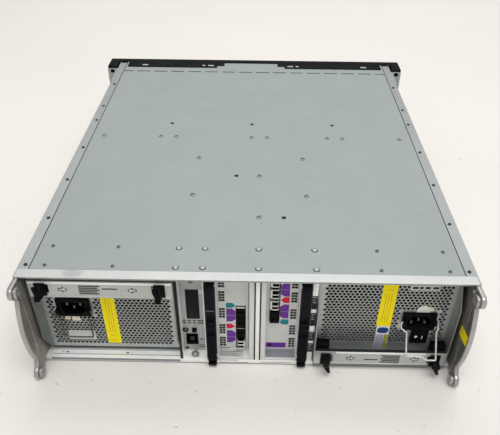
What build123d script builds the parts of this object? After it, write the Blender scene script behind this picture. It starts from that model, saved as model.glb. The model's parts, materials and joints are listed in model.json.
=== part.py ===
# Rack disk shelf: a sheet-metal chassis with a front disk bay, a midplane, and rear
# power and link modules, closed in front by a pull-off bezel.
# Millimetres. X runs across the rear, Y from the rear edge to the bezel, Z up.
# The origin is the middle of the chassis floor's underside.

import os

from build123d import *

os.makedirs("parts", exist_ok=True)

# Chassis envelope and sheet
chassis_width = 446.0
chassis_height = 132.0
chassis_depth = 525.0
sheet = 1.5
seam_gap = 0.3
running_gap = 0.3

# Top flange strips, cover and rear frame
flange_width = 11.7
flange_end_setback = 8.0
joggle_overlap = 3.0
joggle_side_gap = 0.5
rail_depth = 11.5
rail_drop = 5.0
rail_bend_radius = 1.2
sill_setback = 8.0
sill_depth = 14.0
sill_height = 7.0
sill_flange = 8.0
sill_hole_radius = 1.6

# Fasteners on the cover and flanges
screw_head_radius = 2.6
screw_head_height = 1.2
rivet_head_radius = 3.0
rivet_head_height = 1.4
fastener_sides = 6
flange_screw_inset = 7.2
flange_screw_depths = (17.4, 92.9, 167.9, 242.9, 317.7, 361.1, 436.6)
rear_row_depths = (17.2, 46.4)
rear_screw_columns = (130.8, 197.2)
middle_row_depth = 275.0
middle_row_columns = (-195.3, -120.1, -99.8, 0.0, 20.7, 99.8, 120.1, 195.3)
guide_rivet_column = 65.0
guide_rivet_depths = (140.9, 221.9)
centre_rivet_depths = (100.0, 182.0)
cover_hole_radius = 1.9
cover_holes = ((0.0, 312.0), (-110.0, 312.0), (110.0, 312.0), (-16.5, 182.0), (38.3, 100.0))

# Rear wings
wing_thickness = 5.0
wing_boss_radius = 7.5
wing_boss_sides = 16
wing_boss_reach = 13.5
wing_boss_inset = 8.0
wing_neck_reach = 11.0
wing_neck_inset = 22.5
wing_bulge_reach = 19.5
wing_inner_boss_radius = 6.0
wing_boss_clearance = 0.9
wing_tongue_thickness = 3.2
wing_tongue_depth = 40.0
wing_tongue_margin = 1.5

# Bays between the wings, from the centre post outwards
bay_gap = 0.9
divider_sheet = 1.2
post_x = 11.35
post_width = 5.3
label_post_width = 5.6
lcc_width = 49.3
id_width = 25.2
psu_side_space = 9.4
face_setback = 20.7
midplane_setback = 270.0
midplane_thickness = 3.0
midplane_window_height = 22.0
midplane_window_columns = 3
midplane_window_step = 5
module_end_gap = 8.0

# Power supply modules
psu_sheet = 1.2
bar_setback = 3.0
bar_sheet = 1.5
bar_height = 19.0
bar_lip_depth = 5.0
gusset_height = 34.0
grille_hole_radius = 5.6
grille_hole_sides = 6
grille_pitch = 17.4
grille_side_margin = 8.0
grille_end_margin = 11.5
tab_column_inset = 13.0
tab_width = 11.0
tab_height = 16.0
tab_plate = 1.5
tab_neck_width = 7.0
tab_neck_height = 11.0
tab_travel = 4.0
tab_fin_width = 5.0
tab_fin_reach = 13.0
tab_fin_tip_drop = 4.0
tab_fin_bow = (9.1, 4.8)
tab_wall_gap = 0.4
entry_x = -37.5
entry_bar_gap = 0.5
inlet_width = 35.0
inlet_height = 24.0
inlet_cavity_width = 24.6
inlet_cavity_height = 16.6
inlet_cavity_depth = 15.0
inlet_corner = 5.0
inlet_flange = 3.0
entry_body_depth = 26.0
entry_body_inset = 1.2
pin_width = 4.0
pin_thickness = 2.0
pin_length = 9.0
pin_spacing = 7.0
pin_rise = 3.0
earth_drop = 4.0
switch_x = -41.4
switch_width = 18.0
switch_height = 20.0
rocker_radius = 6.2
rocker_height = 15.0
rocker_crown = 2.0
rocker_pivot_depth = 1.5
rocker_rest_tilt = 8.0
bail_length = 36.0
bail_wire = 2.2
bail_wire_sides = 6
bail_side_gap = 0.6
bail_corner = 4.0
bail_pin_length = 3.0
bail_pin_fit = 0.08
bail_ear_depth = 5.0
bail_ear_height = 6.0
bail_pivot_drop = 2.0
bail_open_lean = 154.0
fan_size = 80.0
fan_depth = 25.0
fan_x = 22.5
fan_floor_gap = 9.5
fan_bore_radius = 38.4
fan_bore_sides = 20
fan_tip_gap = 1.4
fan_hub_radius = 15.0
fan_hub_sides = 12
fan_web = 3.0
fan_strut_width = 4.0
fan_strut_count = 3
fan_shaft_radius = 2.0
fan_shaft_fit = 0.08
fan_end_gap = 0.8
blade_count = 5
blade_chord = 22.0
blade_thickness = 1.6
blade_pitch = 35.0
board_sheet = 1.6
psu_board_setback = 60.0
psu_board_end_gap = 8.0
psu_board_column = 31.0
transformer_size = (31.0, 37.0, 29.0)
transformer_setback = 48.0
capacitor_size = (12.5, 18.5, 41.0)
capacitor_pitch = (20.5, 37.0)
capacitor_setback = 125.0
heat_sink_fin = (1.6, 135.0, 47.0)
heat_sink_pitch = 10.0
heat_sink_fins = 4

# Link control modules
lcc_sheet = 1.2
lcc_rim_setback = 8.0
lcc_rim_width = 4.7
lcc_rim_height = 3.0
lever_slot_width = 10.3
lever_side_gap = 0.4
lever_radius = 6.3
lever_round_sides = 12
lever_pivot_inset = 6.7
lever_pin_radius = 2.0
lever_pin_fit = 0.08
lever_meet_gap = 0.7
lever_finger_depth = 2.5
lever_finger_height = 10.0
vent_size = 2.6
vent_pitch = 3.8
vent_column_x = -9.1
vent_end_inset = 14.4
vent_inner_share = 0.55
vents_per_group = 4
cage_width = 10.7
cage_height = 16.2
cage_count = 4
cage_wall = 0.8
cage_depth = 48.0
cage_x = 10.5
cage_bottom_inset = 2.0
cage_plug_setback = 2.0
lcc_board_setback = 24.0
lcc_board_inset = 4.0
chip_size = (3.6, 30.0, 30.0)
chip_pitch = 60.0
chip_setback = 131.0
edge_connector = (9.4, 24.0, 64.0)

# Shelf number panel
display_width = 13.6
display_height = 42.0
display_z = 78.1
display_plate = 0.8
id_housing_depth = 60.0
id_housing_inset = 2.0
jack_width = 13.0
jack_height = 16.5
jack_x = -3.0
jack_z = 25.1
jack_wall = 1.4
jack_proud = 0.8
jack_depth = 14.0
button_size = 4.6
button_x = 0.0
button_z = 39.6
button_proud = 2.5
button_depth = 7.0

# Disk bay
disk_count = 15
disk_pitch = 27.485
disk_slot_setback = 36.0
disk_slot_length = 21.0
disk_slot_width = 2.0
guide_plate = 3.0
guide_rib = 1.2
guide_rib_height = 4.5
guide_gap = 15.0
guide_front_setback = 10.0
carrier_width = 25.0
carrier_gap = 22.0
carrier_front_setback = 13.0
carrier_front = 12.0
carrier_back = 4.0
carrier_rail = 10.7
drive_width = 26.1
drive_length = 147.0
disk_latch_width = 17.0
disk_latch_height = 84.0
disk_latch_depth = 7.0
disk_latch_bevel = 3.0
disk_connector = (8.0, 9.0, 34.0)

# Rack ears, to the 19 inch rack standard
ear_width = 17.0
ear_hole_offset = 9.55
ear_hole_end = 5.675
ear_hole_radius = 3.4
ear_sheet = 2.0
ear_front_setback = 25.0
ear_leg_depth = 46.0
ear_end_margin = 1.5

# Front bezel
bezel_front_depth = 14.0
bezel_front_gap = 0.8
bezel_plate = 1.2
bezel_plate_reach = 20.0
bezel_plate_side_inset = 3.0
bezel_foot_gap = 0.6
bezel_cap_gap = 1.0
bezel_cap_wall = 2.5
bezel_cap_ear_gap = 1.0
bezel_notch_x = -5.5
bezel_notch_outer = 111.0
bezel_notch_inner = 88.0
bezel_notch_step = 8.0
bezel_slot = (9.0, 3.0)
bezel_slot_outer = 180.3
bezel_slot_inner = 66.3
bezel_slot_reach = 11.0
bezel_window_side = 34.0
bezel_window_rise = 16.0
bezel_edge_radius = 4.0
bezel_insert_setback = 3.0
bezel_insert_depth = 6.0
bezel_insert_lip = 3.0
bezel_louvre_rows = 9
bezel_louvre_slat = 4.2
bezel_louvre_columns = 2
bezel_louvre_bar = 8.0
lock_radius = 4.5
lock_fit = 0.08
lock_length = 12.0
lock_proud = 1.5
lock_key = (1.6, 6.0, 3.0)
bezel_button_depth = 9.0
bezel_button_height = 30.0
bezel_button_proud = 1.0
bezel_button_flange = 1.5
bezel_button_stop = 2.0

# Values worked out from the sizes above
rear_y = -chassis_depth / 2
half_width = chassis_width / 2
mid_height = chassis_height / 2
ear_outer = half_width + ear_width
bezel_width = 2 * ear_outer
cover_half = half_width - flange_width - seam_gap
cover_start = rail_depth + seam_gap
under_cover = chassis_height - sheet
module_height = chassis_height - 2 * (sill_height + running_gap)
module_depth = midplane_setback - module_end_gap
guide_start = midplane_setback + guide_gap
carrier_start = midplane_setback + carrier_gap
ear_setback = chassis_depth - ear_front_setback

lcc_right_edge = post_x - post_width / 2 - bay_gap
lcc_left_x = lcc_right_edge - lcc_width / 2
lcc_right_x = post_x + post_width / 2 + bay_gap + lcc_width / 2
divider_id_x = lcc_right_edge - lcc_width - bay_gap - divider_sheet / 2
id_x = divider_id_x - divider_sheet / 2 - id_width / 2
divider_left_x = id_x - id_width / 2 - divider_sheet / 2
label_post_x = lcc_right_x + lcc_width / 2 + bay_gap + label_post_width / 2
psu_inner_x = max(label_post_x + label_post_width / 2, divider_sheet / 2 - divider_left_x) + bay_gap
psu_width = half_width - psu_side_space - psu_inner_x
psu_x = psu_inner_x + psu_width / 2
wing_boss_face = psu_inner_x + psu_width + wing_boss_clearance

psu_half = psu_width / 2
psu_inside = psu_half - psu_sheet
module_half = module_height / 2
module_inside = module_half - psu_sheet
bar_top = module_inside
bar_bottom = bar_top - bar_height
tab_x = psu_half - tab_column_inset
tab_z = bar_top - tab_height / 2 - (bar_height - tab_height) / 2
entry_front = face_setback - inlet_flange
entry_z = bar_bottom - entry_bar_gap - switch_height - inlet_height / 2
switch_z = entry_z + inlet_height / 2 + switch_height / 2
bail_z = entry_z - bail_pivot_drop
bail_depth = entry_front - bail_ear_depth / 2
bail_half = inlet_width / 2 + bail_side_gap + bail_wire / 2
fan_z = fan_size / 2 + fan_floor_gap - module_inside

# Frames that the pieces are drawn in: local Y is the depth in from the rear edge
chassis = Plane(origin=(0, rear_y, 0))
upright = {"x_dir": (1, 0, 0), "z_dir": (0, 0, 1)}
turned_over = {"x_dir": (-1, 0, 0), "z_dir": (0, 0, -1)}
psu_frames = {
    "psu_left": Plane(origin=(-psu_x, rear_y, mid_height), **upright),
    "psu_right": Plane(origin=(psu_x, rear_y, mid_height), **turned_over),
}
lcc_frames = {
    "lcc_left": Plane(origin=(lcc_left_x, rear_y, mid_height), **upright),
    "lcc_right": Plane(origin=(lcc_right_x, rear_y, mid_height), **turned_over),
}
id_frame = Plane(origin=(id_x, rear_y, 0))


def facing_rear(frame, depth):
    """Sketch plane in a frame at a depth: sketch X and Y are the frame's X and Z."""
    return Plane(frame.from_local_coords((0, depth, 0)), x_dir=frame.x_dir, z_dir=-frame.y_dir)


def facing_side(frame, x):
    """Sketch plane in a frame at an x: sketch X and Y are the frame's Y and Z."""
    return Plane(frame.from_local_coords((x, 0, 0)), x_dir=frame.y_dir, z_dir=frame.x_dir)


def facing_up(frame, z):
    """Sketch plane in a frame at a height: sketch X and Y are the frame's X and Y."""
    return Plane(frame.from_local_coords((0, 0, z)), x_dir=frame.x_dir, z_dir=frame.z_dir)


def save(builder, name):
    """Label a finished piece and write it as its own file."""
    builder.part.label = name
    export_step(builder.part, f"parts/{name}.step")


# Chassis shell: floor, sides and turned-in top flanges folded from one sheet
with BuildPart() as chassis_shell:
    with BuildSketch(facing_rear(chassis, 0)):
        with Locations((0, mid_height)):
            Rectangle(chassis_width, chassis_height)
            Rectangle(chassis_width - 2 * sheet, chassis_height - 2 * sheet, mode=Mode.SUBTRACT)
        with Locations((0, chassis_height)):
            Rectangle(chassis_width - 2 * flange_width, 4 * sheet, mode=Mode.SUBTRACT)
    extrude(amount=-chassis_depth)
    with BuildSketch(facing_up(chassis, 0)):
        with Locations((0, sill_setback / 2)):
            Rectangle(chassis_width - 2 * sheet, sill_setback)
    extrude(amount=sheet, mode=Mode.SUBTRACT)
    with BuildSketch(facing_up(chassis, under_cover)):
        with Locations((0, cover_start / 2)):
            Rectangle(chassis_width - 2 * sheet, cover_start)
        with Locations((0, chassis_depth - flange_end_setback / 2)):
            Rectangle(chassis_width - 2 * sheet, flange_end_setback)
    extrude(amount=sheet, mode=Mode.SUBTRACT)
save(chassis_shell, "chassis_shell")

# Top cover: flat lid with joggled edges that lie under the flange strips
with BuildPart() as top_cover:
    joggle_outer = half_width - sheet - joggle_side_gap
    joggle_width = joggle_outer - cover_half + joggle_overlap
    with BuildSketch(facing_rear(chassis, cover_start)):
        with Locations((0, under_cover + sheet / 2)):
            Rectangle(2 * cover_half, sheet)
        with Locations((0, under_cover - sheet / 2)):
            with GridLocations(2 * joggle_outer - joggle_width, 0, 2, 1):
                Rectangle(joggle_width, sheet)
        with Locations((0, under_cover)):
            with GridLocations(2 * cover_half - joggle_overlap, 0, 2, 1):
                Rectangle(joggle_overlap, sheet)
    extrude(amount=cover_start - chassis_depth)
    with BuildSketch(facing_up(chassis, under_cover)):
        with Locations((0, chassis_depth - disk_slot_setback)):
            with GridLocations(disk_pitch, 0, disk_count + 1, 1):
                Rectangle(disk_slot_length, disk_slot_width)
        with Locations(*cover_holes):
            RegularPolygon(cover_hole_radius, fastener_sides)
    extrude(amount=sheet, mode=Mode.SUBTRACT)
save(top_cover, "top_cover")

# Rear top rail: bent lip that overhangs the bays
with BuildPart() as rear_top_rail:
    with BuildSketch(facing_side(chassis, 0)):
        with Locations((0, chassis_height)):
            Rectangle(rail_depth, sheet, align=(Align.MIN, Align.MAX))
            Rectangle(sheet, rail_drop, align=(Align.MIN, Align.MAX))
    extrude(amount=half_width - sheet, both=True)
    outer_bend = rear_top_rail.edges().filter_by(Axis.X).group_by(Axis.Z)[-1].sort_by(Axis.Y)[0]
    fillet(outer_bend, rail_bend_radius)
save(rear_top_rail, "rear_top_rail")

# Rear sill: channel on the floor whose ledge carries the modules
with BuildPart() as rear_sill:
    with BuildSketch(facing_side(chassis, 0)):
        with Locations((sill_setback, sheet)):
            Rectangle(sheet, sill_height - sheet, align=(Align.MIN, Align.MIN))
            Rectangle(sill_flange, sheet, align=(Align.MIN, Align.MIN))
        with Locations((sill_setback, sill_height)):
            Rectangle(sill_depth, sheet, align=(Align.MIN, Align.MAX))
    extrude(amount=half_width - sheet, both=True)
    with BuildSketch(facing_up(chassis, sill_height)):
        with Locations((0, sill_setback + sill_depth / 2)):
            for column in rear_screw_columns:
                with GridLocations(2 * column, 0, 2, 1):
                    RegularPolygon(sill_hole_radius, fastener_sides)
    extrude(amount=-sheet, mode=Mode.SUBTRACT)
save(rear_sill, "rear_sill")


# Divider plates: one on each side of the shelf number panel
with BuildPart() as bay_divider_plates:
    with BuildSketch(facing_up(chassis, sill_height)):
        with Locations((divider_left_x, sill_setback), (divider_id_x, sill_setback)):
            Rectangle(divider_sheet, midplane_setback - sill_setback, align=(Align.CENTER, Align.MIN))
    extrude(amount=under_cover - sill_height)
save(bay_divider_plates, "bay_divider_plates")


def bay_post(name, x, width):
    """Upright between two bays: a channel whose web is the visible post."""
    with BuildPart() as post:
        with BuildSketch(facing_up(chassis, sill_height)):
            with Locations((x, sill_setback)):
                Rectangle(width, midplane_setback - sill_setback, align=(Align.CENTER, Align.MIN))
            with Locations((x, sill_setback + divider_sheet)):
                Rectangle(
                    width - 2 * divider_sheet,
                    midplane_setback,
                    align=(Align.CENTER, Align.MIN),
                    mode=Mode.SUBTRACT,
                )
        extrude(amount=under_cover - sill_height)
    save(post, name)


bay_post("bay_post_centre", post_x, post_width)
bay_post("bay_post_right", label_post_x, label_post_width)


def rear_wing(name, side):
    """Cast side guard: bowed plate with a boss at each end and a tongue inside the side wall."""
    outer_face = side * half_width
    inner_face = side * (half_width - wing_thickness)
    boss_top = chassis_height - wing_boss_inset
    with BuildPart() as wing:
        with BuildSketch(facing_side(chassis, outer_face)):
            with BuildLine():
                rear_bow = ThreePointArc(
                    (-wing_neck_reach, chassis_height - wing_neck_inset),
                    (-wing_bulge_reach, mid_height),
                    (-wing_neck_reach, wing_neck_inset),
                )
                Polyline(
                    rear_bow @ 1,
                    (-wing_boss_reach, wing_boss_inset),
                    (-wing_boss_reach, wing_boss_inset - wing_boss_radius),
                    (0, sheet),
                    (0, under_cover),
                    (-wing_boss_reach, boss_top + wing_boss_radius),
                    (-wing_boss_reach, boss_top),
                    rear_bow @ 0,
                )
            make_face()
            with Locations((-wing_boss_reach, wing_boss_inset), (-wing_boss_reach, boss_top)):
                RegularPolygon(wing_boss_radius, wing_boss_sides)
        extrude(amount=-side * wing_thickness)
        with BuildSketch(facing_side(chassis, inner_face)):
            with Locations((-wing_boss_reach, wing_boss_inset), (-wing_boss_reach, boss_top)):
                RegularPolygon(wing_inner_boss_radius, wing_boss_sides)
        extrude(amount=side * (wing_boss_face - (half_width - wing_thickness)))
        with BuildSketch(facing_side(chassis, side * (half_width - sheet))):
            tongue_low = sill_height + wing_tongue_margin
            tongue_high = chassis_height - rail_drop - wing_tongue_margin
            with Locations((-wing_thickness, tongue_low)):
                Rectangle(
                    wing_thickness + wing_tongue_depth,
                    tongue_high - tongue_low,
                    align=(Align.MIN, Align.MIN),
                )
        extrude(amount=-side * wing_tongue_thickness)
    save(wing, name)


rear_wing("rear_wing_left", -1)
rear_wing("rear_wing_right", 1)


def rack_ear(name, side):
    """Bent bracket: a leg on the chassis side and an ear with the two rack screw holes."""
    ear_height = chassis_height - 2 * ear_end_margin
    with BuildPart() as ear:
        with BuildSketch(facing_up(chassis, ear_end_margin)):
            with BuildLine():
                Polyline(
                    (side * half_width, ear_setback - ear_leg_depth),
                    (side * half_width, ear_setback + ear_sheet),
                    (side * ear_outer, ear_setback + ear_sheet),
                    (side * ear_outer, ear_setback),
                    (side * (half_width + ear_sheet), ear_setback),
                    (side * (half_width + ear_sheet), ear_setback - ear_leg_depth),
                    close=True,
                )
            make_face()
        extrude(amount=ear_height)
        with BuildSketch(facing_rear(chassis, ear_setback)):
            with Locations((side * (half_width + ear_hole_offset), mid_height)):
                with GridLocations(0, chassis_height - 2 * ear_hole_end, 1, 2):
                    Circle(ear_hole_radius)
        extrude(amount=-ear_sheet, mode=Mode.SUBTRACT)
    save(ear, name)


rack_ear("rack_ear_left", -1)
rack_ear("rack_ear_right", 1)

# Midplane: the board that the disks and the rear modules plug into
with BuildPart() as midplane_board:
    board_top = under_cover - sheet - seam_gap
    board_width = chassis_width - 2 * (sheet + wing_tongue_thickness + bay_gap)
    connector_width, connector_depth, connector_height = disk_connector
    with BuildSketch(facing_rear(chassis, midplane_setback)):
        with Locations((0, sheet)):
            Rectangle(board_width, board_top - sheet, align=(Align.CENTER, Align.MIN))
        with Locations((0, mid_height)):
            with GridLocations(disk_pitch * midplane_window_step, mid_height, midplane_window_columns, 2):
                Rectangle(3 * disk_pitch, midplane_window_height, mode=Mode.SUBTRACT)
    extrude(amount=-midplane_thickness)
    with BuildSketch(facing_rear(chassis, midplane_setback + midplane_thickness)):
        with Locations((0, mid_height)):
            with GridLocations(disk_pitch, 0, disk_count, 1):
                Rectangle(connector_width, connector_height)
    extrude(amount=-connector_depth)
save(midplane_board, "midplane_board")

# Disk guides: a plate on the floor and one under the cover, with a rib on each side of every disk
with BuildPart() as disk_guides:
    guide_width = disk_pitch * disk_count + guide_rib
    with BuildSketch(facing_rear(chassis, guide_start)):
        for seat, rise in ((sheet, 1), (under_cover, -1)):
            with Locations((0, seat + rise * guide_plate / 2)):
                Rectangle(guide_width, guide_plate)
            with Locations((0, seat + rise * (guide_plate + guide_rib_height / 2))):
                with GridLocations(disk_pitch, 0, disk_count + 1, 1):
                    Rectangle(guide_rib, guide_rib_height)
    extrude(amount=guide_start + guide_front_setback - chassis_depth)
save(disk_guides, "disk_guides")
# Disk carriers: one ring frame per disk, its front bar facing the bezel
carrier_end = chassis_depth - carrier_front_setback
carrier_low = sheet + guide_plate
carrier_high = under_cover - guide_plate
drive_height = carrier_high - carrier_low - 2 * carrier_rail
drive_end = carrier_end - carrier_front
with BuildPart() as disk_carriers:
    with BuildSketch(facing_side(chassis, 0)):
        with Locations((carrier_start, carrier_low)):
            Rectangle(carrier_end - carrier_start, carrier_high - carrier_low, align=(Align.MIN, Align.MIN))
        with Locations((carrier_start + carrier_back, mid_height)):
            Rectangle(
                drive_end - carrier_start - carrier_back,
                drive_height,
                align=(Align.MIN, Align.CENTER),
                mode=Mode.SUBTRACT,
            )
    with GridLocations(disk_pitch, 0, disk_count, 1):
        add(extrude(amount=carrier_width / 2, both=True, mode=Mode.PRIVATE))
save(disk_carriers, "disk_carriers")

# Disk drives: one block per carrier, against its front bar
with BuildPart(chassis) as disk_drives:
    with Locations((0, drive_end - drive_length / 2, mid_height)):
        with GridLocations(disk_pitch, 0, disk_count, 1):
            Box(drive_width, drive_length, drive_height)
save(disk_drives, "disk_drives")

# Disk latches: one bevelled pull on the front of each carrier
with BuildPart(chassis) as disk_latches:
    with Locations((0, carrier_end, mid_height)):
        with GridLocations(disk_pitch, 0, disk_count, 1):
            Box(
                disk_latch_width,
                disk_latch_depth,
                disk_latch_height,
                align=(Align.CENTER, Align.MIN, Align.CENTER),
            )
    front_edges = disk_latches.faces().filter_by(Axis.Y).group_by(Axis.Y)[-1].edges().filter_by(Axis.X)
    chamfer(front_edges, disk_latch_bevel)
save(disk_latches, "disk_latches")

# Flange screws, cover screws and rivets: heads on the top faces
with BuildPart() as flange_screws:
    with BuildSketch(facing_up(chassis, chassis_height)):
        for depth in flange_screw_depths:
            with Locations((0, depth)):
                with GridLocations(chassis_width - 2 * flange_screw_inset, 0, 2, 1):
                    RegularPolygon(screw_head_radius, fastener_sides)
    extrude(amount=screw_head_height)
save(flange_screws, "flange_screws")

with BuildPart() as cover_screws:
    with BuildSketch(facing_up(chassis, chassis_height)):
        for depth in rear_row_depths:
            for column in rear_screw_columns:
                with Locations((0, depth)):
                    with GridLocations(2 * column, 0, 2, 1):
                        RegularPolygon(screw_head_radius, fastener_sides)
    extrude(amount=screw_head_height)
save(cover_screws, "cover_screws")

with BuildPart() as cover_rivets:
    divider_columns = (divider_left_x, divider_id_x, post_x, label_post_x)
    rivet_places = [(x, depth) for depth in rear_row_depths for x in divider_columns]
    rivet_places += [(x, middle_row_depth) for x in middle_row_columns]
    rivet_places += [(side * guide_rivet_column, depth) for depth in guide_rivet_depths for side in (-1, 1)]
    rivet_places += [(post_x, depth) for depth in centre_rivet_depths]
    with BuildSketch(facing_up(chassis, chassis_height)):
        with Locations(*rivet_places):
            RegularPolygon(rivet_head_radius, fastener_sides)
    extrude(amount=rivet_head_height)
save(cover_rivets, "cover_rivets")


def psu_housing(name, frame):
    """Folded box, open to the rear, whose side walls taper back below the pull bar."""
    with BuildPart() as housing:
        with BuildSketch(facing_side(frame, 0)):
            with BuildLine():
                Polyline(
                    (bar_setback, module_half),
                    (module_depth, module_half),
                    (module_depth, -module_half),
                    (face_setback - psu_sheet, -module_half),
                    (face_setback - psu_sheet, -module_inside),
                    (bar_setback, gusset_height - module_half),
                    close=True,
                )
            make_face()
        extrude(amount=psu_half, both=True)
        with BuildSketch(facing_rear(frame, module_depth - psu_sheet)):
            Rectangle(2 * psu_inside, 2 * module_inside)
        extrude(amount=module_depth, mode=Mode.SUBTRACT)
    save(housing, f"{name}_housing")


def entry_outline(inset, mode=Mode.ADD):
    """Outline of the power entry block in the current sketch: inlet and switch together."""
    switch_top = switch_z + switch_height / 2 - inset
    with Locations((entry_x, entry_z)):
        Rectangle(inlet_width - 2 * inset, inlet_height - 2 * inset, mode=mode)
    with Locations((switch_x, entry_z)):
        Rectangle(
            switch_width - 2 * inset,
            switch_top - entry_z,
            align=(Align.CENTER, Align.MIN),
            mode=mode,
        )


def psu_grille(name, frame):
    """Rear panel pierced by staggered rows of six-sided holes, cut away for the power entry."""
    field_x = psu_inside - grille_side_margin
    field_low = grille_end_margin - module_inside
    field_high = bar_bottom - grille_hole_radius
    row_pitch = grille_pitch * 3**0.5 / 2
    rows = int((field_high - field_low) / row_pitch) + 1
    columns = int(2 * field_x / grille_pitch)
    keep_out = grille_hole_radius + psu_sheet
    holes = []
    for row in range(rows):
        z = field_low + row * row_pitch
        for column in range(columns):
            x = (column - (columns - 1) / 2 + (row % 2 - 0.5) / 2) * grille_pitch
            beside_inlet = abs(x - entry_x) > inlet_width / 2 + keep_out
            clear_of_inlet = beside_inlet or abs(z - entry_z) > inlet_height / 2 + keep_out
            beside_switch = abs(x - switch_x) > switch_width / 2 + keep_out
            clear_of_switch = beside_switch or abs(z - switch_z) > switch_height / 2 + keep_out
            if clear_of_inlet and clear_of_switch:
                holes.append((x, z))
    with BuildPart() as grille:
        with BuildSketch(facing_rear(frame, face_setback)):
            Rectangle(2 * psu_inside, 2 * module_inside)
            entry_outline(entry_body_inset - seam_gap, mode=Mode.SUBTRACT)
            with Locations(*holes):
                RegularPolygon(grille_hole_radius, grille_hole_sides, mode=Mode.SUBTRACT)
        extrude(amount=-psu_sheet)
    save(grille, f"{name}_grille")


def psu_pull_bar(name, frame):
    """Strip across the module's edge, with a return lip and a window for each squeeze tab."""
    window_width = tab_neck_width + tab_travel + 2 * running_gap
    window_shift = tab_travel / 2
    with BuildPart() as pull_bar:
        with BuildSketch(facing_side(frame, 0)):
            with Locations((bar_setback, bar_bottom)):
                Rectangle(bar_sheet, bar_height, align=(Align.MIN, Align.MIN))
                Rectangle(bar_lip_depth, bar_sheet, align=(Align.MIN, Align.MIN))
        extrude(amount=psu_inside, both=True)
        with BuildSketch(facing_rear(frame, bar_setback)):
            with Locations((0, tab_z)):
                with GridLocations(2 * (tab_x - window_shift), 0, 2, 1):
                    Rectangle(window_width, tab_neck_height + 2 * running_gap)
        extrude(amount=-bar_sheet, mode=Mode.SUBTRACT)
    save(pull_bar, f"{name}_pull_bar")


def psu_tab(name, frame, side):
    """Squeeze tab: finger fin and cover plate outside the bar, latch tongue behind it."""
    plate_front = bar_setback - running_gap
    inner_face = bar_setback + bar_sheet + running_gap
    tongue_end = psu_inside - tab_wall_gap
    with BuildPart() as tab:
        with BuildSketch(facing_rear(frame, plate_front)):
            with Locations((side * tab_x, tab_z)):
                Rectangle(tab_width, tab_height)
        extrude(amount=tab_plate)
        with BuildSketch(facing_rear(frame, plate_front)):
            with Locations((side * tab_x, tab_z)):
                Rectangle(tab_neck_width, tab_neck_height)
        extrude(amount=plate_front - inner_face)
        with BuildSketch(facing_rear(frame, inner_face)):
            with Locations((side * (tab_x - tab_width / 2), tab_z)):
                Rectangle(
                    tongue_end - tab_x + tab_width / 2,
                    tab_neck_height + tab_plate,
                    align=(Align.MIN if side > 0 else Align.MAX, Align.CENTER),
                )
        extrude(amount=-tab_plate)
        with BuildSketch(facing_side(frame, side * tab_x)):
            fin_root = plate_front - tab_plate
            fin_top = tab_z + tab_height / 2
            fin_tip = (fin_root - tab_fin_reach, tab_z - tab_fin_tip_drop)
            bow_reach, bow_drop = tab_fin_bow
            with BuildLine():
                Polyline(fin_tip, (fin_root, tab_z - tab_height / 2), (fin_root, fin_top))
                ThreePointArc((fin_root, fin_top), (fin_root - bow_reach, fin_top - bow_drop), fin_tip)
            make_face()
        extrude(amount=tab_fin_width / 2, both=True)
    save(tab, f"{name}_tab_{'outer' if side < 0 else 'inner'}")


def psu_power_entry(name, frame):
    """Black block with the mains inlet, its pins, the switch frame and the bail ears."""
    pin_root = entry_front + inlet_cavity_depth
    with BuildPart() as entry:
        with BuildSketch(facing_rear(frame, face_setback)):
            entry_outline(0)
        extrude(amount=inlet_flange)
        with BuildSketch(facing_rear(frame, face_setback)):
            entry_outline(entry_body_inset)
        extrude(amount=-entry_body_depth)
        with BuildSketch(facing_rear(frame, entry_front)):
            with Locations((entry_x, entry_z)):
                cavity = Rectangle(inlet_cavity_width, inlet_cavity_height)
            chamfer(cavity.vertices().group_by(Axis.Y)[0], inlet_corner)
        extrude(amount=-inlet_cavity_depth, mode=Mode.SUBTRACT)
        with BuildSketch(facing_rear(frame, pin_root)):
            with Locations((entry_x, entry_z + pin_rise)):
                with GridLocations(2 * pin_spacing, 0, 2, 1):
                    Rectangle(pin_thickness, pin_width)
                with Locations((0, -earth_drop)):
                    Rectangle(pin_thickness, pin_width)
        extrude(amount=pin_length)
        with BuildSketch(facing_rear(frame, entry_front)):
            with Locations((switch_x, switch_z)):
                Rectangle(2 * (rocker_radius + running_gap), rocker_height + 2 * running_gap)
        extrude(amount=-(rocker_pivot_depth + rocker_radius + running_gap), mode=Mode.SUBTRACT)
        with BuildSketch(facing_side(frame, entry_x)):
            with Locations((bail_depth, bail_z)):
                Rectangle(bail_ear_depth, bail_ear_height)
        extrude(amount=inlet_width / 2, both=True)
        with BuildSketch(facing_rear(frame, entry_front)):
            with Locations((entry_x, entry_z)):
                Rectangle(inlet_width - 2 * (bail_pin_length + bail_side_gap), inlet_height)
        extrude(amount=bail_ear_depth, mode=Mode.SUBTRACT)
        with BuildSketch(facing_side(frame, entry_x)):
            with Locations((bail_depth, bail_z)):
                Circle(bail_wire / 2 + bail_pin_fit)
        extrude(amount=inlet_width, both=True, mode=Mode.SUBTRACT)
    save(entry, f"{name}_power_entry")


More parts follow.
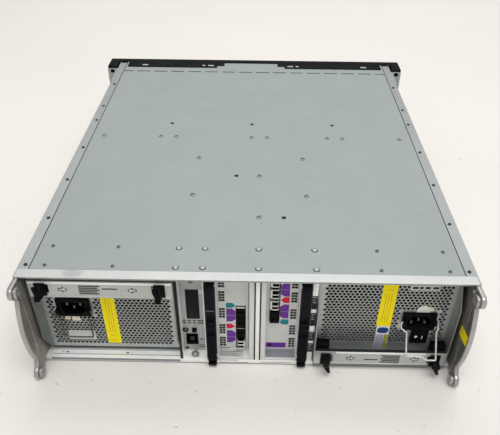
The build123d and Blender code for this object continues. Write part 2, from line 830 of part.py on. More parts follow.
def psu_rocker(name, frame):
    """Switch rocker: round-backed bar with a dished face, at rest on its lower side."""
    pivot = frame.from_local_coords((switch_x, entry_front + rocker_pivot_depth, switch_z))
    tilt_axis = Axis((0, 0, 0), frame.z_dir)
    tilted = Plane(pivot, x_dir=frame.x_dir.rotate(tilt_axis, rocker_rest_tilt), z_dir=frame.z_dir)
    with BuildPart() as rocker:
        with BuildSketch(tilted.offset(-rocker_height / 2)):
            Circle(rocker_radius)
            with BuildLine():
                Polyline(
                    (-2 * rocker_radius, -rocker_pivot_depth - rocker_crown),
                    (0, -rocker_pivot_depth),
                    (2 * rocker_radius, -rocker_pivot_depth - rocker_crown),
                    (2 * rocker_radius, -2 * rocker_radius),
                    (-2 * rocker_radius, -2 * rocker_radius),
                    close=True,
                )
            make_face(mode=Mode.SUBTRACT)
        extrude(amount=rocker_height)
    save(rocker, f"{name}_rocker")


def psu_bail(name, frame, lean):
    """Plug retaining wire: a bent loop on two pins in the ears, leaning out by an angle."""
    pivot = frame.from_local_coords((entry_x, bail_depth, bail_z))
    swing_axis = Axis((0, 0, 0), frame.x_dir)
    loop = Plane(pivot, x_dir=frame.x_dir, z_dir=frame.y_dir.rotate(swing_axis, -lean))
    with BuildPart() as bail:
        with BuildLine(loop) as wire:
            Polyline(
                (-bail_half, 0),
                (-bail_half, bail_length - bail_corner),
                (-bail_half + bail_corner, bail_length),
                (bail_half - bail_corner, bail_length),
                (bail_half, bail_length - bail_corner),
                (bail_half, 0),
            )
        with BuildSketch(Plane(wire.line @ 0, x_dir=loop.x_dir, z_dir=wire.line % 0)):
            RegularPolygon(bail_wire / 2, bail_wire_sides)
        sweep(path=wire.line, transition=Transition.RIGHT)
        pin_reach = bail_half - inlet_width / 2 + bail_pin_length
        for side in (-1, 1):
            with BuildSketch(Plane(loop.from_local_coords((side * bail_half, 0, 0)), z_dir=loop.x_dir)):
                Circle(bail_wire / 2)
            extrude(amount=-side * pin_reach)
    save(bail, f"{name}_bail")


def psu_fan_frame(name, frame):
    """Square axial fan frame: round duct, three struts, a centre web and the rotor shaft."""
    fan_start = face_setback + psu_sheet
    web_start = fan_start + fan_depth - fan_web
    with BuildPart() as fan_frame:
        with BuildSketch(facing_rear(frame, fan_start)):
            with Locations((fan_x, fan_z)):
                Rectangle(fan_size, fan_size)
                RegularPolygon(fan_bore_radius, fan_bore_sides, mode=Mode.SUBTRACT)
        extrude(amount=-fan_depth)
        with BuildSketch(facing_rear(frame, web_start)):
            with Locations((fan_x, fan_z)):
                RegularPolygon(fan_hub_radius, fan_hub_sides)
                with PolarLocations(fan_bore_radius / 2, fan_strut_count):
                    Rectangle(fan_bore_radius, fan_strut_width)
        extrude(amount=-fan_web)
        with BuildSketch(facing_rear(frame, web_start)):
            with Locations((fan_x, fan_z)):
                Circle(fan_shaft_radius)
        extrude(amount=fan_depth / 2)
    save(fan_frame, f"{name}_fan_frame")


def psu_fan_rotor(name, frame):
    """Fan rotor: hub bored for the shaft, with pitched blades that clear the duct."""
    fan_start = face_setback + psu_sheet
    hub_start = fan_start + fan_end_gap
    hub_end = fan_start + fan_depth - fan_web - fan_end_gap
    hub_middle = (hub_start + hub_end) / 2
    blade_root = fan_hub_radius - 2 * blade_thickness
    blade_tip = ((fan_bore_radius - fan_tip_gap) ** 2 - (blade_chord / 2) ** 2) ** 0.5
    with BuildPart(facing_rear(frame, hub_middle)) as rotor:
        with Locations((fan_x, fan_z)):
            with PolarLocations((blade_root + blade_tip) / 2, blade_count):
                Box(blade_tip - blade_root, blade_chord, blade_thickness, rotation=(blade_pitch, 0, 0))
        with BuildSketch(facing_rear(frame, hub_end)):
            with Locations((fan_x, fan_z)):
                RegularPolygon(fan_hub_radius, fan_hub_sides)
        extrude(amount=hub_end - hub_start)
        with BuildSketch(facing_rear(frame, hub_end)):
            with Locations((fan_x, fan_z)):
                Circle(fan_shaft_radius + fan_shaft_fit)
        extrude(amount=fan_depth / 2, mode=Mode.SUBTRACT)
    save(rotor, f"{name}_fan_rotor")


def psu_power_board(name, frame):
    """Converter board on the housing floor, with its transformer, capacitors and heat sink."""
    board_end = module_depth - psu_sheet - psu_board_end_gap
    board_length = board_end - psu_board_setback
    board_half = psu_inside - psu_board_end_gap
    board_top_z = board_sheet - module_inside
    with BuildPart(frame) as board:
        with Locations((0, psu_board_setback, -module_inside)):
            Box(2 * board_half, board_length, board_sheet, align=(Align.CENTER, Align.MIN, Align.MIN))
        seat = (Align.CENTER, Align.CENTER, Align.MIN)
        with Locations((-psu_board_column, psu_board_setback + transformer_setback, board_top_z)):
            Box(*transformer_size, align=seat)
        with Locations((-psu_board_column, psu_board_setback + capacitor_setback, board_top_z)):
            with GridLocations(*capacitor_pitch, 2, 2):
                Box(*capacitor_size, align=seat)
        with Locations((psu_board_column, psu_board_setback + board_length / 2, board_top_z)):
            with GridLocations(heat_sink_pitch, 0, heat_sink_fins, 1):
                Box(*heat_sink_fin, align=seat)
    save(board, f"{name}_power_board")


def power_supply(name, frame, bail_lean):
    psu_housing(name, frame)
    psu_grille(name, frame)
    psu_pull_bar(name, frame)
    psu_tab(name, frame, -1)
    psu_tab(name, frame, 1)
    psu_power_entry(name, frame)
    psu_rocker(name, frame)
    psu_bail(name, frame, bail_lean)
    psu_fan_frame(name, frame)
    psu_fan_rotor(name, frame)
    psu_power_board(name, frame)


# The left bail hangs flat on the grille; the right one, turned over, lies out over its pull bar
power_supply("psu_left", psu_frames["psu_left"], 0)
power_supply("psu_right", psu_frames["psu_right"], bail_open_lean)

# Link control module, across its frame: lever slot, vents, port cages, rim
lcc_half = lcc_width / 2
tray_left = lever_slot_width - lcc_half
tray_inside_left = tray_left + lcc_sheet
tray_inside_right = lcc_half - lcc_sheet
lcc_inside = module_half - lcc_sheet
vent_outer = module_half - vent_end_inset
vent_inner = vent_outer * vent_inner_share
cage_stack = cage_count * cage_height
cage_low = cage_bottom_inset + lcc_rim_height - module_half
lever_pivot_z = module_half - lever_pivot_inset
lever_pivot_depth = lcc_rim_setback


def lcc_tray(name, frame):
    """Sheet tray: recessed face with vents and a port window, a rim, and the levers' pivot pins."""
    with BuildPart() as tray:
        with BuildSketch(facing_rear(frame, lcc_rim_setback)):
            with Locations((tray_left, 0)):
                Rectangle(lcc_half - tray_left, module_height, align=(Align.MIN, Align.CENTER))
        extrude(amount=lcc_rim_setback - module_depth)
        with BuildSketch(facing_rear(frame, lcc_rim_setback)):
            with Locations((tray_inside_left, 0)):
                Rectangle(
                    lcc_half - lcc_rim_width - tray_inside_left,
                    module_height - 2 * lcc_rim_height,
                    align=(Align.MIN, Align.CENTER),
                )
        extrude(amount=lcc_rim_setback - face_setback, mode=Mode.SUBTRACT)
        with BuildSketch(facing_rear(frame, face_setback + lcc_sheet)):
            with Locations((tray_inside_left, 0)):
                Rectangle(
                    tray_inside_right - tray_inside_left,
                    2 * lcc_inside,
                    align=(Align.MIN, Align.CENTER),
                )
        extrude(amount=-module_depth, mode=Mode.SUBTRACT)
        with BuildSketch(facing_rear(frame, face_setback)):
            for group in (-vent_outer, -vent_inner, 0, vent_inner, vent_outer):
                with Locations((vent_column_x, group)):
                    with GridLocations(0, vent_pitch, 1, vents_per_group):
                        Rectangle(vent_pitch + vent_size, vent_size)
            with Locations((cage_x, cage_low)):
                Rectangle(cage_width, cage_stack, align=(Align.CENTER, Align.MIN))
        extrude(amount=-lcc_sheet, mode=Mode.SUBTRACT)
        with BuildSketch(facing_side(frame, tray_left)):
            with Locations((lever_pivot_depth, lever_pivot_z), (lever_pivot_depth, -lever_pivot_z)):
                Circle(lever_pin_radius)
        extrude(amount=lever_side_gap - lever_slot_width)
    save(tray, f"{name}_tray")


def lcc_ports(name, frame, open_cages):
    """Stack of port cages: the lowest are open sockets, the others hold plugs."""
    with BuildPart() as ports:
        with BuildSketch(facing_rear(frame, face_setback)):
            with Locations((cage_x, cage_low)):
                Rectangle(cage_width, cage_stack, align=(Align.CENTER, Align.MIN))
        extrude(amount=-cage_depth)
        for cage in range(cage_count):
            socket_depth = cage_depth - cage_wall if cage < open_cages else cage_plug_setback
            with BuildSketch(facing_rear(frame, face_setback)):
                with Locations((cage_x, cage_low + (cage + 0.5) * cage_height)):
                    Rectangle(cage_width - 2 * cage_wall, cage_height - 2 * cage_wall)
            extrude(amount=-socket_depth, mode=Mode.SUBTRACT)
    save(ports, f"{name}_ports")


def lcc_board(name, frame):
    """Circuit board on the tray's side wall, with its controllers and edge connector."""
    board_length = module_depth - lcc_board_setback
    board_height = 2 * (lcc_inside - lcc_board_inset)
    board_face = tray_inside_right - board_sheet
    seat = (Align.MAX, Align.CENTER, Align.CENTER)
    with BuildPart(frame) as board:
        with Locations((tray_inside_right, lcc_board_setback + board_length / 2, 0)):
            Box(board_sheet, board_length, board_height, align=seat)
        with Locations((board_face, lcc_board_setback + chip_setback, 0)):
            with GridLocations(0, chip_pitch, 1, 2):
                Box(*chip_size, align=seat)
        with Locations((board_face, module_depth, 0)):
            Box(*edge_connector, align=(Align.MAX, Align.MAX, Align.CENTER))
    save(board, f"{name}_board")


def lcc_lever(name, frame, end):
    """Ejector lever: half-height bar, round at its pivot at one end, with a finger hollow where it is free."""
    lever_start = lever_side_gap - lcc_half
    lever_end = tray_left - lever_side_gap
    free_end = (Align.CENTER, Align.MAX if end > 0 else Align.MIN)
    with BuildPart() as lever:
        with BuildSketch(facing_side(frame, lever_start)):
            with Locations((lever_pivot_depth, end * lever_pivot_z)):
                RegularPolygon(lever_radius, lever_round_sides, major_radius=False)
                Rectangle(2 * lever_radius, lever_pivot_z - lever_meet_gap, align=free_end)
                Circle(lever_pin_radius + lever_pin_fit, mode=Mode.SUBTRACT)
            with Locations((lever_pivot_depth - lever_radius, end * lever_finger_height)):
                Rectangle(2 * lever_finger_depth, lever_finger_height, mode=Mode.SUBTRACT)
        extrude(amount=lever_end - lever_start)
    save(lever, name)


def link_module(name, frame, open_cages, upper_end):
    lcc_tray(name, frame)
    lcc_ports(name, frame, open_cages)
    lcc_board(name, frame)
    lcc_lever(f"{name}_lever_upper", frame, upper_end)
    lcc_lever(f"{name}_lever_lower", frame, -upper_end)


link_module("lcc_left", lcc_frames["lcc_left"], 1, 1)
link_module("lcc_right", lcc_frames["lcc_right"], 2, -1)

# Shelf number panel: fixed between two dividers, standing on the sill
id_top = mid_height + module_half
with BuildPart() as id_panel:
    with BuildSketch(facing_rear(id_frame, face_setback)):
        with Locations((0, sill_height)):
            Rectangle(id_width, id_top - sill_height, align=(Align.CENTER, Align.MIN))
    extrude(amount=-divider_sheet)
    with BuildSketch(facing_rear(id_frame, face_setback + divider_sheet)):
        with Locations((0, sill_height + sheet)):
            Rectangle(
                id_width - 2 * id_housing_inset,
                id_top - sill_height - 2 * sheet,
                align=(Align.CENTER, Align.MIN),
            )
    extrude(amount=-id_housing_depth)
    with BuildSketch(facing_rear(id_frame, face_setback)):
        with Locations((jack_x, jack_z)):
            Rectangle(jack_width, jack_height)
    extrude(amount=-jack_depth, mode=Mode.SUBTRACT)
    with BuildSketch(facing_rear(id_frame, face_setback)):
        with Locations((button_x, button_z)):
            Rectangle(button_size + 2 * running_gap, button_size + 2 * running_gap)
    extrude(amount=-(button_depth + button_proud), mode=Mode.SUBTRACT)
save(id_panel, "id_panel")

with BuildPart() as id_display:
    with BuildSketch(facing_rear(id_frame, face_setback)):
        with Locations((0, display_z)):
            Rectangle(display_width, display_height)
    extrude(amount=display_plate)
save(id_display, "id_display")

with BuildPart() as id_jack:
    with BuildSketch(facing_rear(id_frame, face_setback - jack_proud)):
        with Locations((jack_x, jack_z)):
            Rectangle(jack_width, jack_height)
    extrude(amount=-(jack_depth + jack_proud))
    with BuildSketch(facing_rear(id_frame, face_setback - jack_proud)):
        with Locations((jack_x, jack_z)):
            Rectangle(jack_width - 2 * jack_wall, jack_height - 2 * jack_wall)
    extrude(amount=-(jack_depth + jack_proud - jack_wall), mode=Mode.SUBTRACT)
save(id_jack, "id_jack")

with BuildPart(id_frame) as id_button:
    with Locations((button_x, face_setback - button_proud, button_z)):
        Box(button_size, button_depth, button_size, align=(Align.CENTER, Align.MIN, Align.CENTER))
save(id_button, "id_button")

# Bezel: front frame, two top plates over the cover, and a hollow cap at each end
bezel_back = chassis_depth + bezel_front_gap
bezel_front = bezel_back + bezel_front_depth
bezel_top = chassis_height + running_gap + bezel_plate
bezel_mid = (bezel_top + bezel_foot_gap) / 2
bezel_height = bezel_top - bezel_foot_gap
plate_back = chassis_depth - bezel_plate_reach
plate_half = cover_half - bezel_plate_side_inset
cap_back = ear_setback + ear_sheet + bezel_cap_ear_gap
cap_inner = half_width + ear_sheet + bezel_cap_gap
cap_width = bezel_width / 2 - cap_inner
cap_x = cap_inner + cap_width / 2
window_width = bezel_width - 2 * bezel_window_side
window_height = bezel_height - 2 * bezel_window_rise
button_mid = (cap_back + bezel_back) / 2
with BuildPart() as bezel_shell:
    with BuildSketch(facing_rear(chassis, bezel_back)):
        with Locations((0, bezel_mid)):
            Rectangle(bezel_width, bezel_height)
    extrude(amount=-bezel_front_depth)
    front_rim = bezel_shell.faces().sort_by(Axis.Y)[-1].edges()
    chamfer(front_rim, bezel_edge_radius)
    with BuildSketch(facing_rear(chassis, bezel_back)):
        with Locations((0, bezel_mid)):
            Rectangle(window_width, window_height)
        with Locations((0, bezel_top - bezel_window_rise / 2)):
            Circle(lock_radius + lock_fit)
    extrude(amount=-bezel_front_depth, mode=Mode.SUBTRACT)
    with BuildSketch(facing_rear(chassis, bezel_back)):
        with Locations((0, bezel_mid)):
            Rectangle(window_width + 2 * bezel_insert_lip, window_height + 2 * bezel_insert_lip)
    extrude(amount=-(bezel_insert_setback + bezel_insert_depth), mode=Mode.SUBTRACT)
    with BuildSketch(facing_up(chassis, bezel_top)):
        with Locations((0, bezel_back)):
            Rectangle(2 * plate_half, bezel_back - plate_back, align=(Align.CENTER, Align.MAX))
        with Locations((bezel_notch_x, bezel_back)):
            Rectangle(
                bezel_notch_inner,
                bezel_back - plate_back,
                align=(Align.CENTER, Align.MAX),
                mode=Mode.SUBTRACT,
            )
        with Locations((bezel_notch_x, plate_back)):
            Rectangle(
                bezel_notch_outer,
                bezel_notch_step,
                align=(Align.CENTER, Align.MIN),
                mode=Mode.SUBTRACT,
            )
        slot_depth = chassis_depth - bezel_slot_reach
        with Locations((0, slot_depth)):
            with GridLocations(2 * bezel_slot_outer, 0, 2, 1):
                Rectangle(*bezel_slot, mode=Mode.SUBTRACT)
        with Locations((bezel_notch_x, slot_depth)):
            with GridLocations(2 * bezel_slot_inner, 0, 2, 1):
                Rectangle(*bezel_slot, mode=Mode.SUBTRACT)
    extrude(amount=-bezel_plate)
    with BuildSketch(facing_rear(chassis, bezel_back)):
        with Locations((0, bezel_mid)):
            with GridLocations(2 * cap_x, 0, 2, 1):
                Rectangle(cap_width, bezel_height)
                Rectangle(
                    cap_width - 2 * bezel_cap_wall,
                    bezel_height - 2 * bezel_cap_wall,
                    mode=Mode.SUBTRACT,
                )
    extrude(amount=bezel_back - cap_back)
    with BuildSketch(facing_side(chassis, 0)):
        with Locations((button_mid, mid_height)):
            Rectangle(bezel_button_depth + 2 * running_gap, bezel_button_height + 2 * running_gap)
    extrude(amount=bezel_width, both=True, mode=Mode.SUBTRACT)
save(bezel_shell, "bezel_shell")

# Bezel insert: louvred panel that drops into the frame from behind
with BuildPart() as bezel_grille:
    insert_back = bezel_back + bezel_insert_setback
    with BuildSketch(facing_rear(chassis, insert_back)):
        with Locations((0, bezel_mid)):
            Rectangle(window_width + 2 * bezel_insert_lip, window_height + 2 * bezel_insert_lip)
            louvre_pitch = window_height / bezel_louvre_rows
            column_pitch = window_width / bezel_louvre_columns
            with GridLocations(column_pitch, louvre_pitch, bezel_louvre_columns, bezel_louvre_rows):
                Rectangle(
                    column_pitch - bezel_louvre_bar,
                    louvre_pitch - bezel_louvre_slat,
                    mode=Mode.SUBTRACT,
                )
    extrude(amount=-bezel_insert_depth)
save(bezel_grille, "bezel_grille")

# Bezel lock: barrel with a key slot
with BuildPart() as bezel_lock:
    lock_face = bezel_front + lock_proud
    key_width, key_height, key_depth = lock_key
    with BuildSketch(facing_rear(chassis, lock_face)):
        with Locations((0, bezel_top - bezel_window_rise / 2)):
            Circle(lock_radius)
    extrude(amount=lock_length)
    with BuildSketch(facing_rear(chassis, lock_face)):
        with Locations((0, bezel_top - bezel_window_rise / 2)):
            Rectangle(key_width, key_height)
    extrude(amount=key_depth, mode=Mode.SUBTRACT)
save(bezel_lock, "bezel_lock")


def bezel_latch(name, side):
    """Release button in a bezel end cap: a cap outside, a stop flange inside the wall."""
    outer_face = bezel_width / 2
    flange_face = outer_face - bezel_cap_wall - running_gap
    with BuildPart() as latch:
        with BuildSketch(facing_side(chassis, side * (outer_face + bezel_button_proud))):
            with Locations((button_mid, mid_height)):
                Rectangle(bezel_button_depth, bezel_button_height)
        extrude(amount=-side * (bezel_button_proud + bezel_cap_wall + running_gap))
        with BuildSketch(facing_side(chassis, side * flange_face)):
            with Locations((button_mid, mid_height)):
                Rectangle(
                    bezel_button_depth + 2 * bezel_button_stop,
                    bezel_button_height + 2 * bezel_button_stop,
                )
        extrude(amount=-side * bezel_button_flange)
    save(latch, name)


bezel_latch("bezel_latch_left", -1)
bezel_latch("bezel_latch_right", 1)
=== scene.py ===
"""Looks of a rack disk shelf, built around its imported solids.

Sizes are millimetres unless a name says otherwise; pieces are scaled to metres when they are made.
X runs across the rear, Y from the rear edge to the front bezel, Z up. A depth is measured in from
the rear edge, and a place in a power module from the module's middle.
"""

import json
import math

import bmesh
import bpy
from mathutils import Matrix, Vector
from mathutils.geometry import delaunay_2d_cdt


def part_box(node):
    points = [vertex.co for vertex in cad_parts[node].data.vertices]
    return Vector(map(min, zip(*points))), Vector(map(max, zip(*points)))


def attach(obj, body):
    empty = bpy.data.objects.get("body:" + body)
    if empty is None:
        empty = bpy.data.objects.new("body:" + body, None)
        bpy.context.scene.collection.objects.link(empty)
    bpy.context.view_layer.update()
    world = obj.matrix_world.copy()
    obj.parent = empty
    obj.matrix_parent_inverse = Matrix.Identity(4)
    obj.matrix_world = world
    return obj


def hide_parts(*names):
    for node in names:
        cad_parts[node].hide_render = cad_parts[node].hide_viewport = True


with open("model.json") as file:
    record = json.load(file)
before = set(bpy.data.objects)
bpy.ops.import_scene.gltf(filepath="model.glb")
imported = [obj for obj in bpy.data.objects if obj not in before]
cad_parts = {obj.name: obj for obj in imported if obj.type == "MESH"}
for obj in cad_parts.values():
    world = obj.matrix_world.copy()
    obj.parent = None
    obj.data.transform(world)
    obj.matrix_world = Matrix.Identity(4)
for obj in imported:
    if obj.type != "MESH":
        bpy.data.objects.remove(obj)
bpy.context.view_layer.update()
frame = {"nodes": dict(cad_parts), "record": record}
nodes = frame["nodes"]
body_of_node = {n: b for b, ns in frame["record"]["behaviour"]["bodies"].items() for n in ns}

MM = 0.001
TO_METRES = Matrix.Scale(MM, 4)

# Photograph's frame and the camera that was fitted to it
PHOTO_WIDTH = 500
PHOTO_HEIGHT = 435
FOCAL_PIXELS = 580.5
PRINCIPAL_PIXEL = (252.69, 217.04)
CAMERA_PLACE = (9.85, -665.16, 512.42)
CAMERA_PITCH = -0.64737
CAMERA_YAW = 0.010884
CAMERA_ROLL = 0.009616
SENSOR_WIDTH = 36.0


def span(node):
    """Lowest and highest corner of a CAD node, in millimetres."""
    low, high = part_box(node)
    return low / MM, high / MM


shell_low, shell_high = span("chassis_shell")
rear_y = shell_low.y
mid_z = (shell_low.z + shell_high.z) / 2
half_width = shell_high.x
SHEET = 1.5


# Materials

NOISE_ROUGHNESS = 0.55
GRAIN_DEPTH = 0.05
EDGE_RADIUS = 0.6
EDGE_TURN = (0.99, 0.8)
EDGE_STRENGTH = 0.7


def srgb(red, green, blue):
    """Linear colour of an 8-bit screen colour."""
    def linear(value):
        v = value / 255
        return v / 12.92 if v <= 0.04045 else ((v + 0.055) / 1.055) ** 2.4
    return (linear(red), linear(green), linear(blue), 1.0)


class Surface:
    """A Principled material with its node tree, built up by the steps that the finish needs."""

    def __init__(self, name, colour, roughness, metallic=0.0):
        self.material = bpy.data.materials.new(name)
        self.material.use_nodes = True
        self.tree = self.material.node_tree
        self.shader = self.tree.nodes["Principled BSDF"]
        self.colour = self.laid = srgb(*colour)
        self.roughness = roughness
        self.feed(self.shader, {"Base Color": self.colour, "Roughness": roughness, "Metallic": metallic})
        self.material.diffuse_color = self.colour
        self.place = self.node("TexCoord", {}).outputs["Object"]

    def feed(self, node, inputs):
        """Set a node's inputs, each to a constant or to another node's output."""
        for name, value in inputs.items():
            if isinstance(value, bpy.types.NodeSocket):
                self.tree.links.new(value, node.inputs[name])
            else:
                node.inputs[name].default_value = value
        return self

    def node(self, kind, inputs, **settings):
        """A new shader node of this kind."""
        made = self.tree.nodes.new("ShaderNode" + kind)
        for name, value in settings.items():
            setattr(made, name, value)
        self.feed(made, inputs)
        return made

    def noise(self, size_mm, detail, stretch=(1, 1, 1)):
        """Noise with features of about this size; stretch lengthens them along an axis."""
        mapping = self.node("Mapping", {"Scale": [1 / s for s in stretch], "Vector": self.place})
        inputs = {"Scale": 1 / (size_mm * MM), "Detail": detail, "Roughness": NOISE_ROUGHNESS}
        return self.node("TexNoise", {**inputs, "Vector": mapping.outputs["Vector"]}).outputs["Fac"]

    def remap(self, value, low, high, to_low=0.0, to_high=1.0):
        """Carry a value from one range to another."""
        inputs = {"From Min": low, "From Max": high, "To Min": to_low, "To Max": to_high}
        return self.node("MapRange", {**inputs, "Value": value}).outputs["Result"]

    def tint(self, mask, colour):
        """Lay another colour over the surface where the mask is white."""
        mix = self.node("Mix", {"A": self.laid, "B": colour, "Factor": mask}, data_type="RGBA")
        self.laid = mix.outputs["Result"]
        return self.feed(self.shader, {"Base Color": self.laid})

    def mottle(self, size_mm, amount, stretch=(1, 1, 1)):
        """Slow light and dark variation."""
        field = self.noise(size_mm, 4.0, stretch)
        for share, end in ((1 - amount, 0.3), (1 + amount, 0.7)):
            shade = [min(1.0, c * share) for c in self.colour[:3]] + [1.0]
            self.tint(self.remap(field, 0.5, end), shade)
        return self

    def patchy_gloss(self, size_mm, amount):
        """Roughness that wanders about its mean."""
        field = self.noise(size_mm, 4.0)
        rough = self.remap(field, 0.3, 0.7, self.roughness - amount, self.roughness + amount)
        return self.feed(self.shader, {"Roughness": rough})

    def grain(self, size_mm, strength):
        """Fine relief."""
        height = self.noise(size_mm, 2.0)
        bump = self.node("Bump", {"Strength": strength, "Distance": GRAIN_DEPTH * MM, "Height": height})
        return self.feed(self.shader, {"Normal": bump.outputs["Normal"]})

    def smudges(self, size_mm, colour, threshold, softness, strength):
        """Scattered marks of another colour."""
        field = self.noise(size_mm, 5.0)
        return self.tint(self.remap(field, threshold, threshold + softness, 0.0, strength), srgb(*colour))

    def rubbed_patch(self, centre, reach, colour, strength):
        """One soft-edged patch of another colour, its centre and half lengths in millimetres."""
        inputs = {"Location": Vector(centre) * MM, "Scale": Vector(reach) * MM, "Vector": self.place}
        mapping = self.node("Mapping", inputs, vector_type="TEXTURE")
        ball = self.node("TexGradient", {"Vector": mapping.outputs["Vector"]}, gradient_type="SPHERICAL")
        return self.tint(self.remap(ball.outputs["Fac"], 0.0, 0.5, 0.0, strength), srgb(*colour))

    def glow_far_off(self, near, far, colour, strength):
        """A glow that rises between two distances from the object's centre, in metres."""
        reach = self.node("VectorMath", {0: self.place}, operation="LENGTH").outputs["Value"]
        glow = self.remap(reach, near, far, 0.0, strength)
        return self.feed(self.shader, {"Emission Color": colour, "Emission Strength": glow})

    def worn_edges(self, colour):
        """Lighter rubbed edges, found by comparing a rounded normal with the flat one."""
        rounded = self.node("Bevel", {"Radius": EDGE_RADIUS * MM}, samples=4).outputs["Normal"]
        flat = self.node("NewGeometry", {}).outputs["True Normal"]
        turn = self.node("VectorMath", {0: rounded, 1: flat}, operation="DOT_PRODUCT").outputs["Value"]
        return self.tint(self.remap(turn, *EDGE_TURN, 0.0, EDGE_STRENGTH), srgb(*colour))


def sheet_metal(name, colour, roughness, metallic):
    """Zinc-plated sheet: faint cloudiness, patchy sheen and a fine tooth."""
    return Surface(name, colour, roughness, metallic).mottle(38, 0.03).patchy_gloss(16, 0.05).grain(0.7, 0.25)


def moulding(name, colour, roughness, edge):
    """Moulded plastic: weak gloss, fine spark texture and slightly rubbed edges."""
    surface = Surface(name, colour, roughness)
    surface.feed(surface.shader, {"Specular IOR Level": 0.07})
    return surface.mottle(9, 0.12).patchy_gloss(6, 0.07).grain(0.45, 0.5).worn_edges(edge).material


def print_film(name, colour, roughness=0.45):
    """Printed label film: nearly flat colour with a little handling dirt."""
    surface = Surface(name, colour, roughness)
    surface.feed(surface.shader, {"Specular IOR Level": 0.2})
    return surface.mottle(5, 0.04).patchy_gloss(4, 0.05).material


def plain(name, colour, roughness, metallic, mottle, gloss):
    """Small part: its mottle and its patches of gloss are each a size and an amount."""
    return Surface(name, colour, roughness, metallic).mottle(*mottle).patchy_gloss(*gloss)


def cast_cheek(name, colour):
    """Rubbed inner side of a casting: dark smudges along its height."""
    surface = Surface(name, colour, 0.45, 0.35)
    surface.mottle(11, 0.22, (1, 1, 3)).smudges(9, (92, 86, 80), 0.6, 0.1, 0.5)
    return surface.patchy_gloss(6, 0.1).grain(0.9, 0.3).material


HANDLED = (168, 166, 160)
RAIL_RUB = (-167.5, rear_y + 6.5, shell_high.z)
RAIL_RUB_REACH = (12.0, 8.0, 8.0)
cover_metal = sheet_metal("cover_metal", (153, 161, 160), 0.55, 0.15).material
flange_metal = sheet_metal("flange_metal", (157, 161, 160), 0.48, 0.2).material
# One bright zinc in two tones: it is painted lighter on the sill, dividers, posts and bar lips, and painted
# darker (painted shade) on the rail; the smudges and the rubbed patch are handling dirt.
zinc_painted_lit = sheet_metal("zinc_painted_lit", (247, 248, 245), 0.4, 0.1)
zinc_painted_lit = zinc_painted_lit.smudges(12, HANDLED, 0.66, 0.06, 0.55).material
rail_zinc_painted_dim = sheet_metal("rail_zinc_painted_dim", (194, 197, 194), 0.4, 0.2).smudges(12, HANDLED, 0.66, 0.06, 0.45)
rail_zinc_painted_dim = rail_zinc_painted_dim.rubbed_patch(RAIL_RUB, RAIL_RUB_REACH, (150, 152, 152), 0.55).material
panel_metal = sheet_metal("panel_metal", (184, 189, 187), 0.36, 0.6).material
bar_metal = sheet_metal("bar_metal", (184, 187, 184), 0.42, 0.3).material
face_metal = sheet_metal("face_metal", (210, 213, 210), 0.5, 0.1).material
# The face metal darkened: painted shade over the number panel.
number_metal_shaded = sheet_metal("number_metal_shaded", (172, 175, 174), 0.5, 0.1).material
housing_metal = sheet_metal("housing_metal", (146, 151, 150), 0.38, 0.6).material
wing_rim = plain("wing_rim", (172, 170, 167), 0.36, 0.7, (14, 0.12), (7, 0.1)).grain(1.1, 0.35).material
# One cast finish in two tones: the left wing's cheek is painted light and the right wing's cheek painted shade.
wing_face_left_lit = cast_cheek("wing_face_left_lit", (152, 147, 141))
wing_face_right_shaded = cast_cheek("wing_face_right_shaded", (112, 109, 104))
rivet_bright = plain("rivet_bright", (172, 176, 174), 0.48, 0.6, (2, 0.1), (1, 0.1)).material
rivet_dull = plain("rivet_dull", (134, 140, 138), 0.45, 0.35, (2, 0.15), (1, 0.1)).material
screw_grey = plain("screw_grey", (112, 116, 115), 0.42, 0.5, (2, 0.15), (1, 0.1)).material
screw_dark = plain("screw_dark", (58, 60, 60), 0.4, 0.6, (2, 0.2), (1, 0.1)).material
# Black for painted shade in hollows, holes, gaps and under the bar, and for a seam line at the power panels'
# edge.
shade_and_seam_black = plain("shade_and_seam_black", (12, 12, 13), 0.7, 0.0, (2, 0.2), (2, 0.1)).material
black_plastic = moulding("black_plastic", (8, 8, 10), 0.52, (36, 36, 40))
lever_plastic = moulding("lever_plastic", (9, 8, 15), 0.46, (36, 36, 50))
bezel_plastic = moulding("bezel_plastic", (15, 16, 18), 0.5, (56, 59, 62))
carrier_plastic = moulding("carrier_plastic", (46, 48, 50), 0.52, (90, 92, 95))
fan_plastic = moulding("fan_plastic", (17, 17, 18), 0.5, (48, 48, 50))
wire_metal = plain("wire_metal", (222, 221, 217), 0.4, 0.6, (4, 0.08), (2, 0.08)).material
# A darker copy of the wire: painted shade on the left module's bail; the inlet pins use it too.
wire_dull_and_shaded = plain("wire_dull_and_shaded", (104, 103, 99), 0.34, 0.8, (4, 0.12), (2, 0.08)).material
pin_metal = plain("pin_metal", (200, 198, 190), 0.25, 0.9, (2, 0.08), (1, 0.08)).material
drive_metal = plain("drive_metal", (158, 160, 160), 0.4, 0.8, (12, 0.1), (6, 0.08)).grain(1.0, 0.3).material
board_green = plain("board_green", (22, 70, 44), 0.4, 0.0, (6, 0.2), (4, 0.1)).grain(1.5, 0.3).material
display_glass = plain("display_glass", (10, 12, 20), 0.24, 0.0, (6, 0.2), (8, 0.05))
display_glass = display_glass.feed(display_glass.shader, {"Specular IOR Level": 0.12}).material
label = {name: print_film(f"label_{name}", colour) for name, colour in (
    ("yellow", (255, 233, 0)), ("white", (232, 232, 230)), ("grey", (184, 184, 182)),
    ("pale", (206, 208, 206)), ("cream", (226, 224, 196)), ("ochre", (214, 180, 20)),
    ("lilac", (176, 176, 194)), ("lime", (170, 168, 60)), ("blue", (38, 70, 132)),
    ("black", (26, 27, 30)), ("slate", (138, 140, 146)), ("tan", (176, 164, 128)),
    ("purple", (108, 52, 152)), ("pink", (226, 196, 214)), ("red", (214, 28, 58)), ("teal", (22, 130, 138)),
)}
dark_ink_and_shade = print_film("dark_ink_and_shade", (52, 54, 54), 0.55)
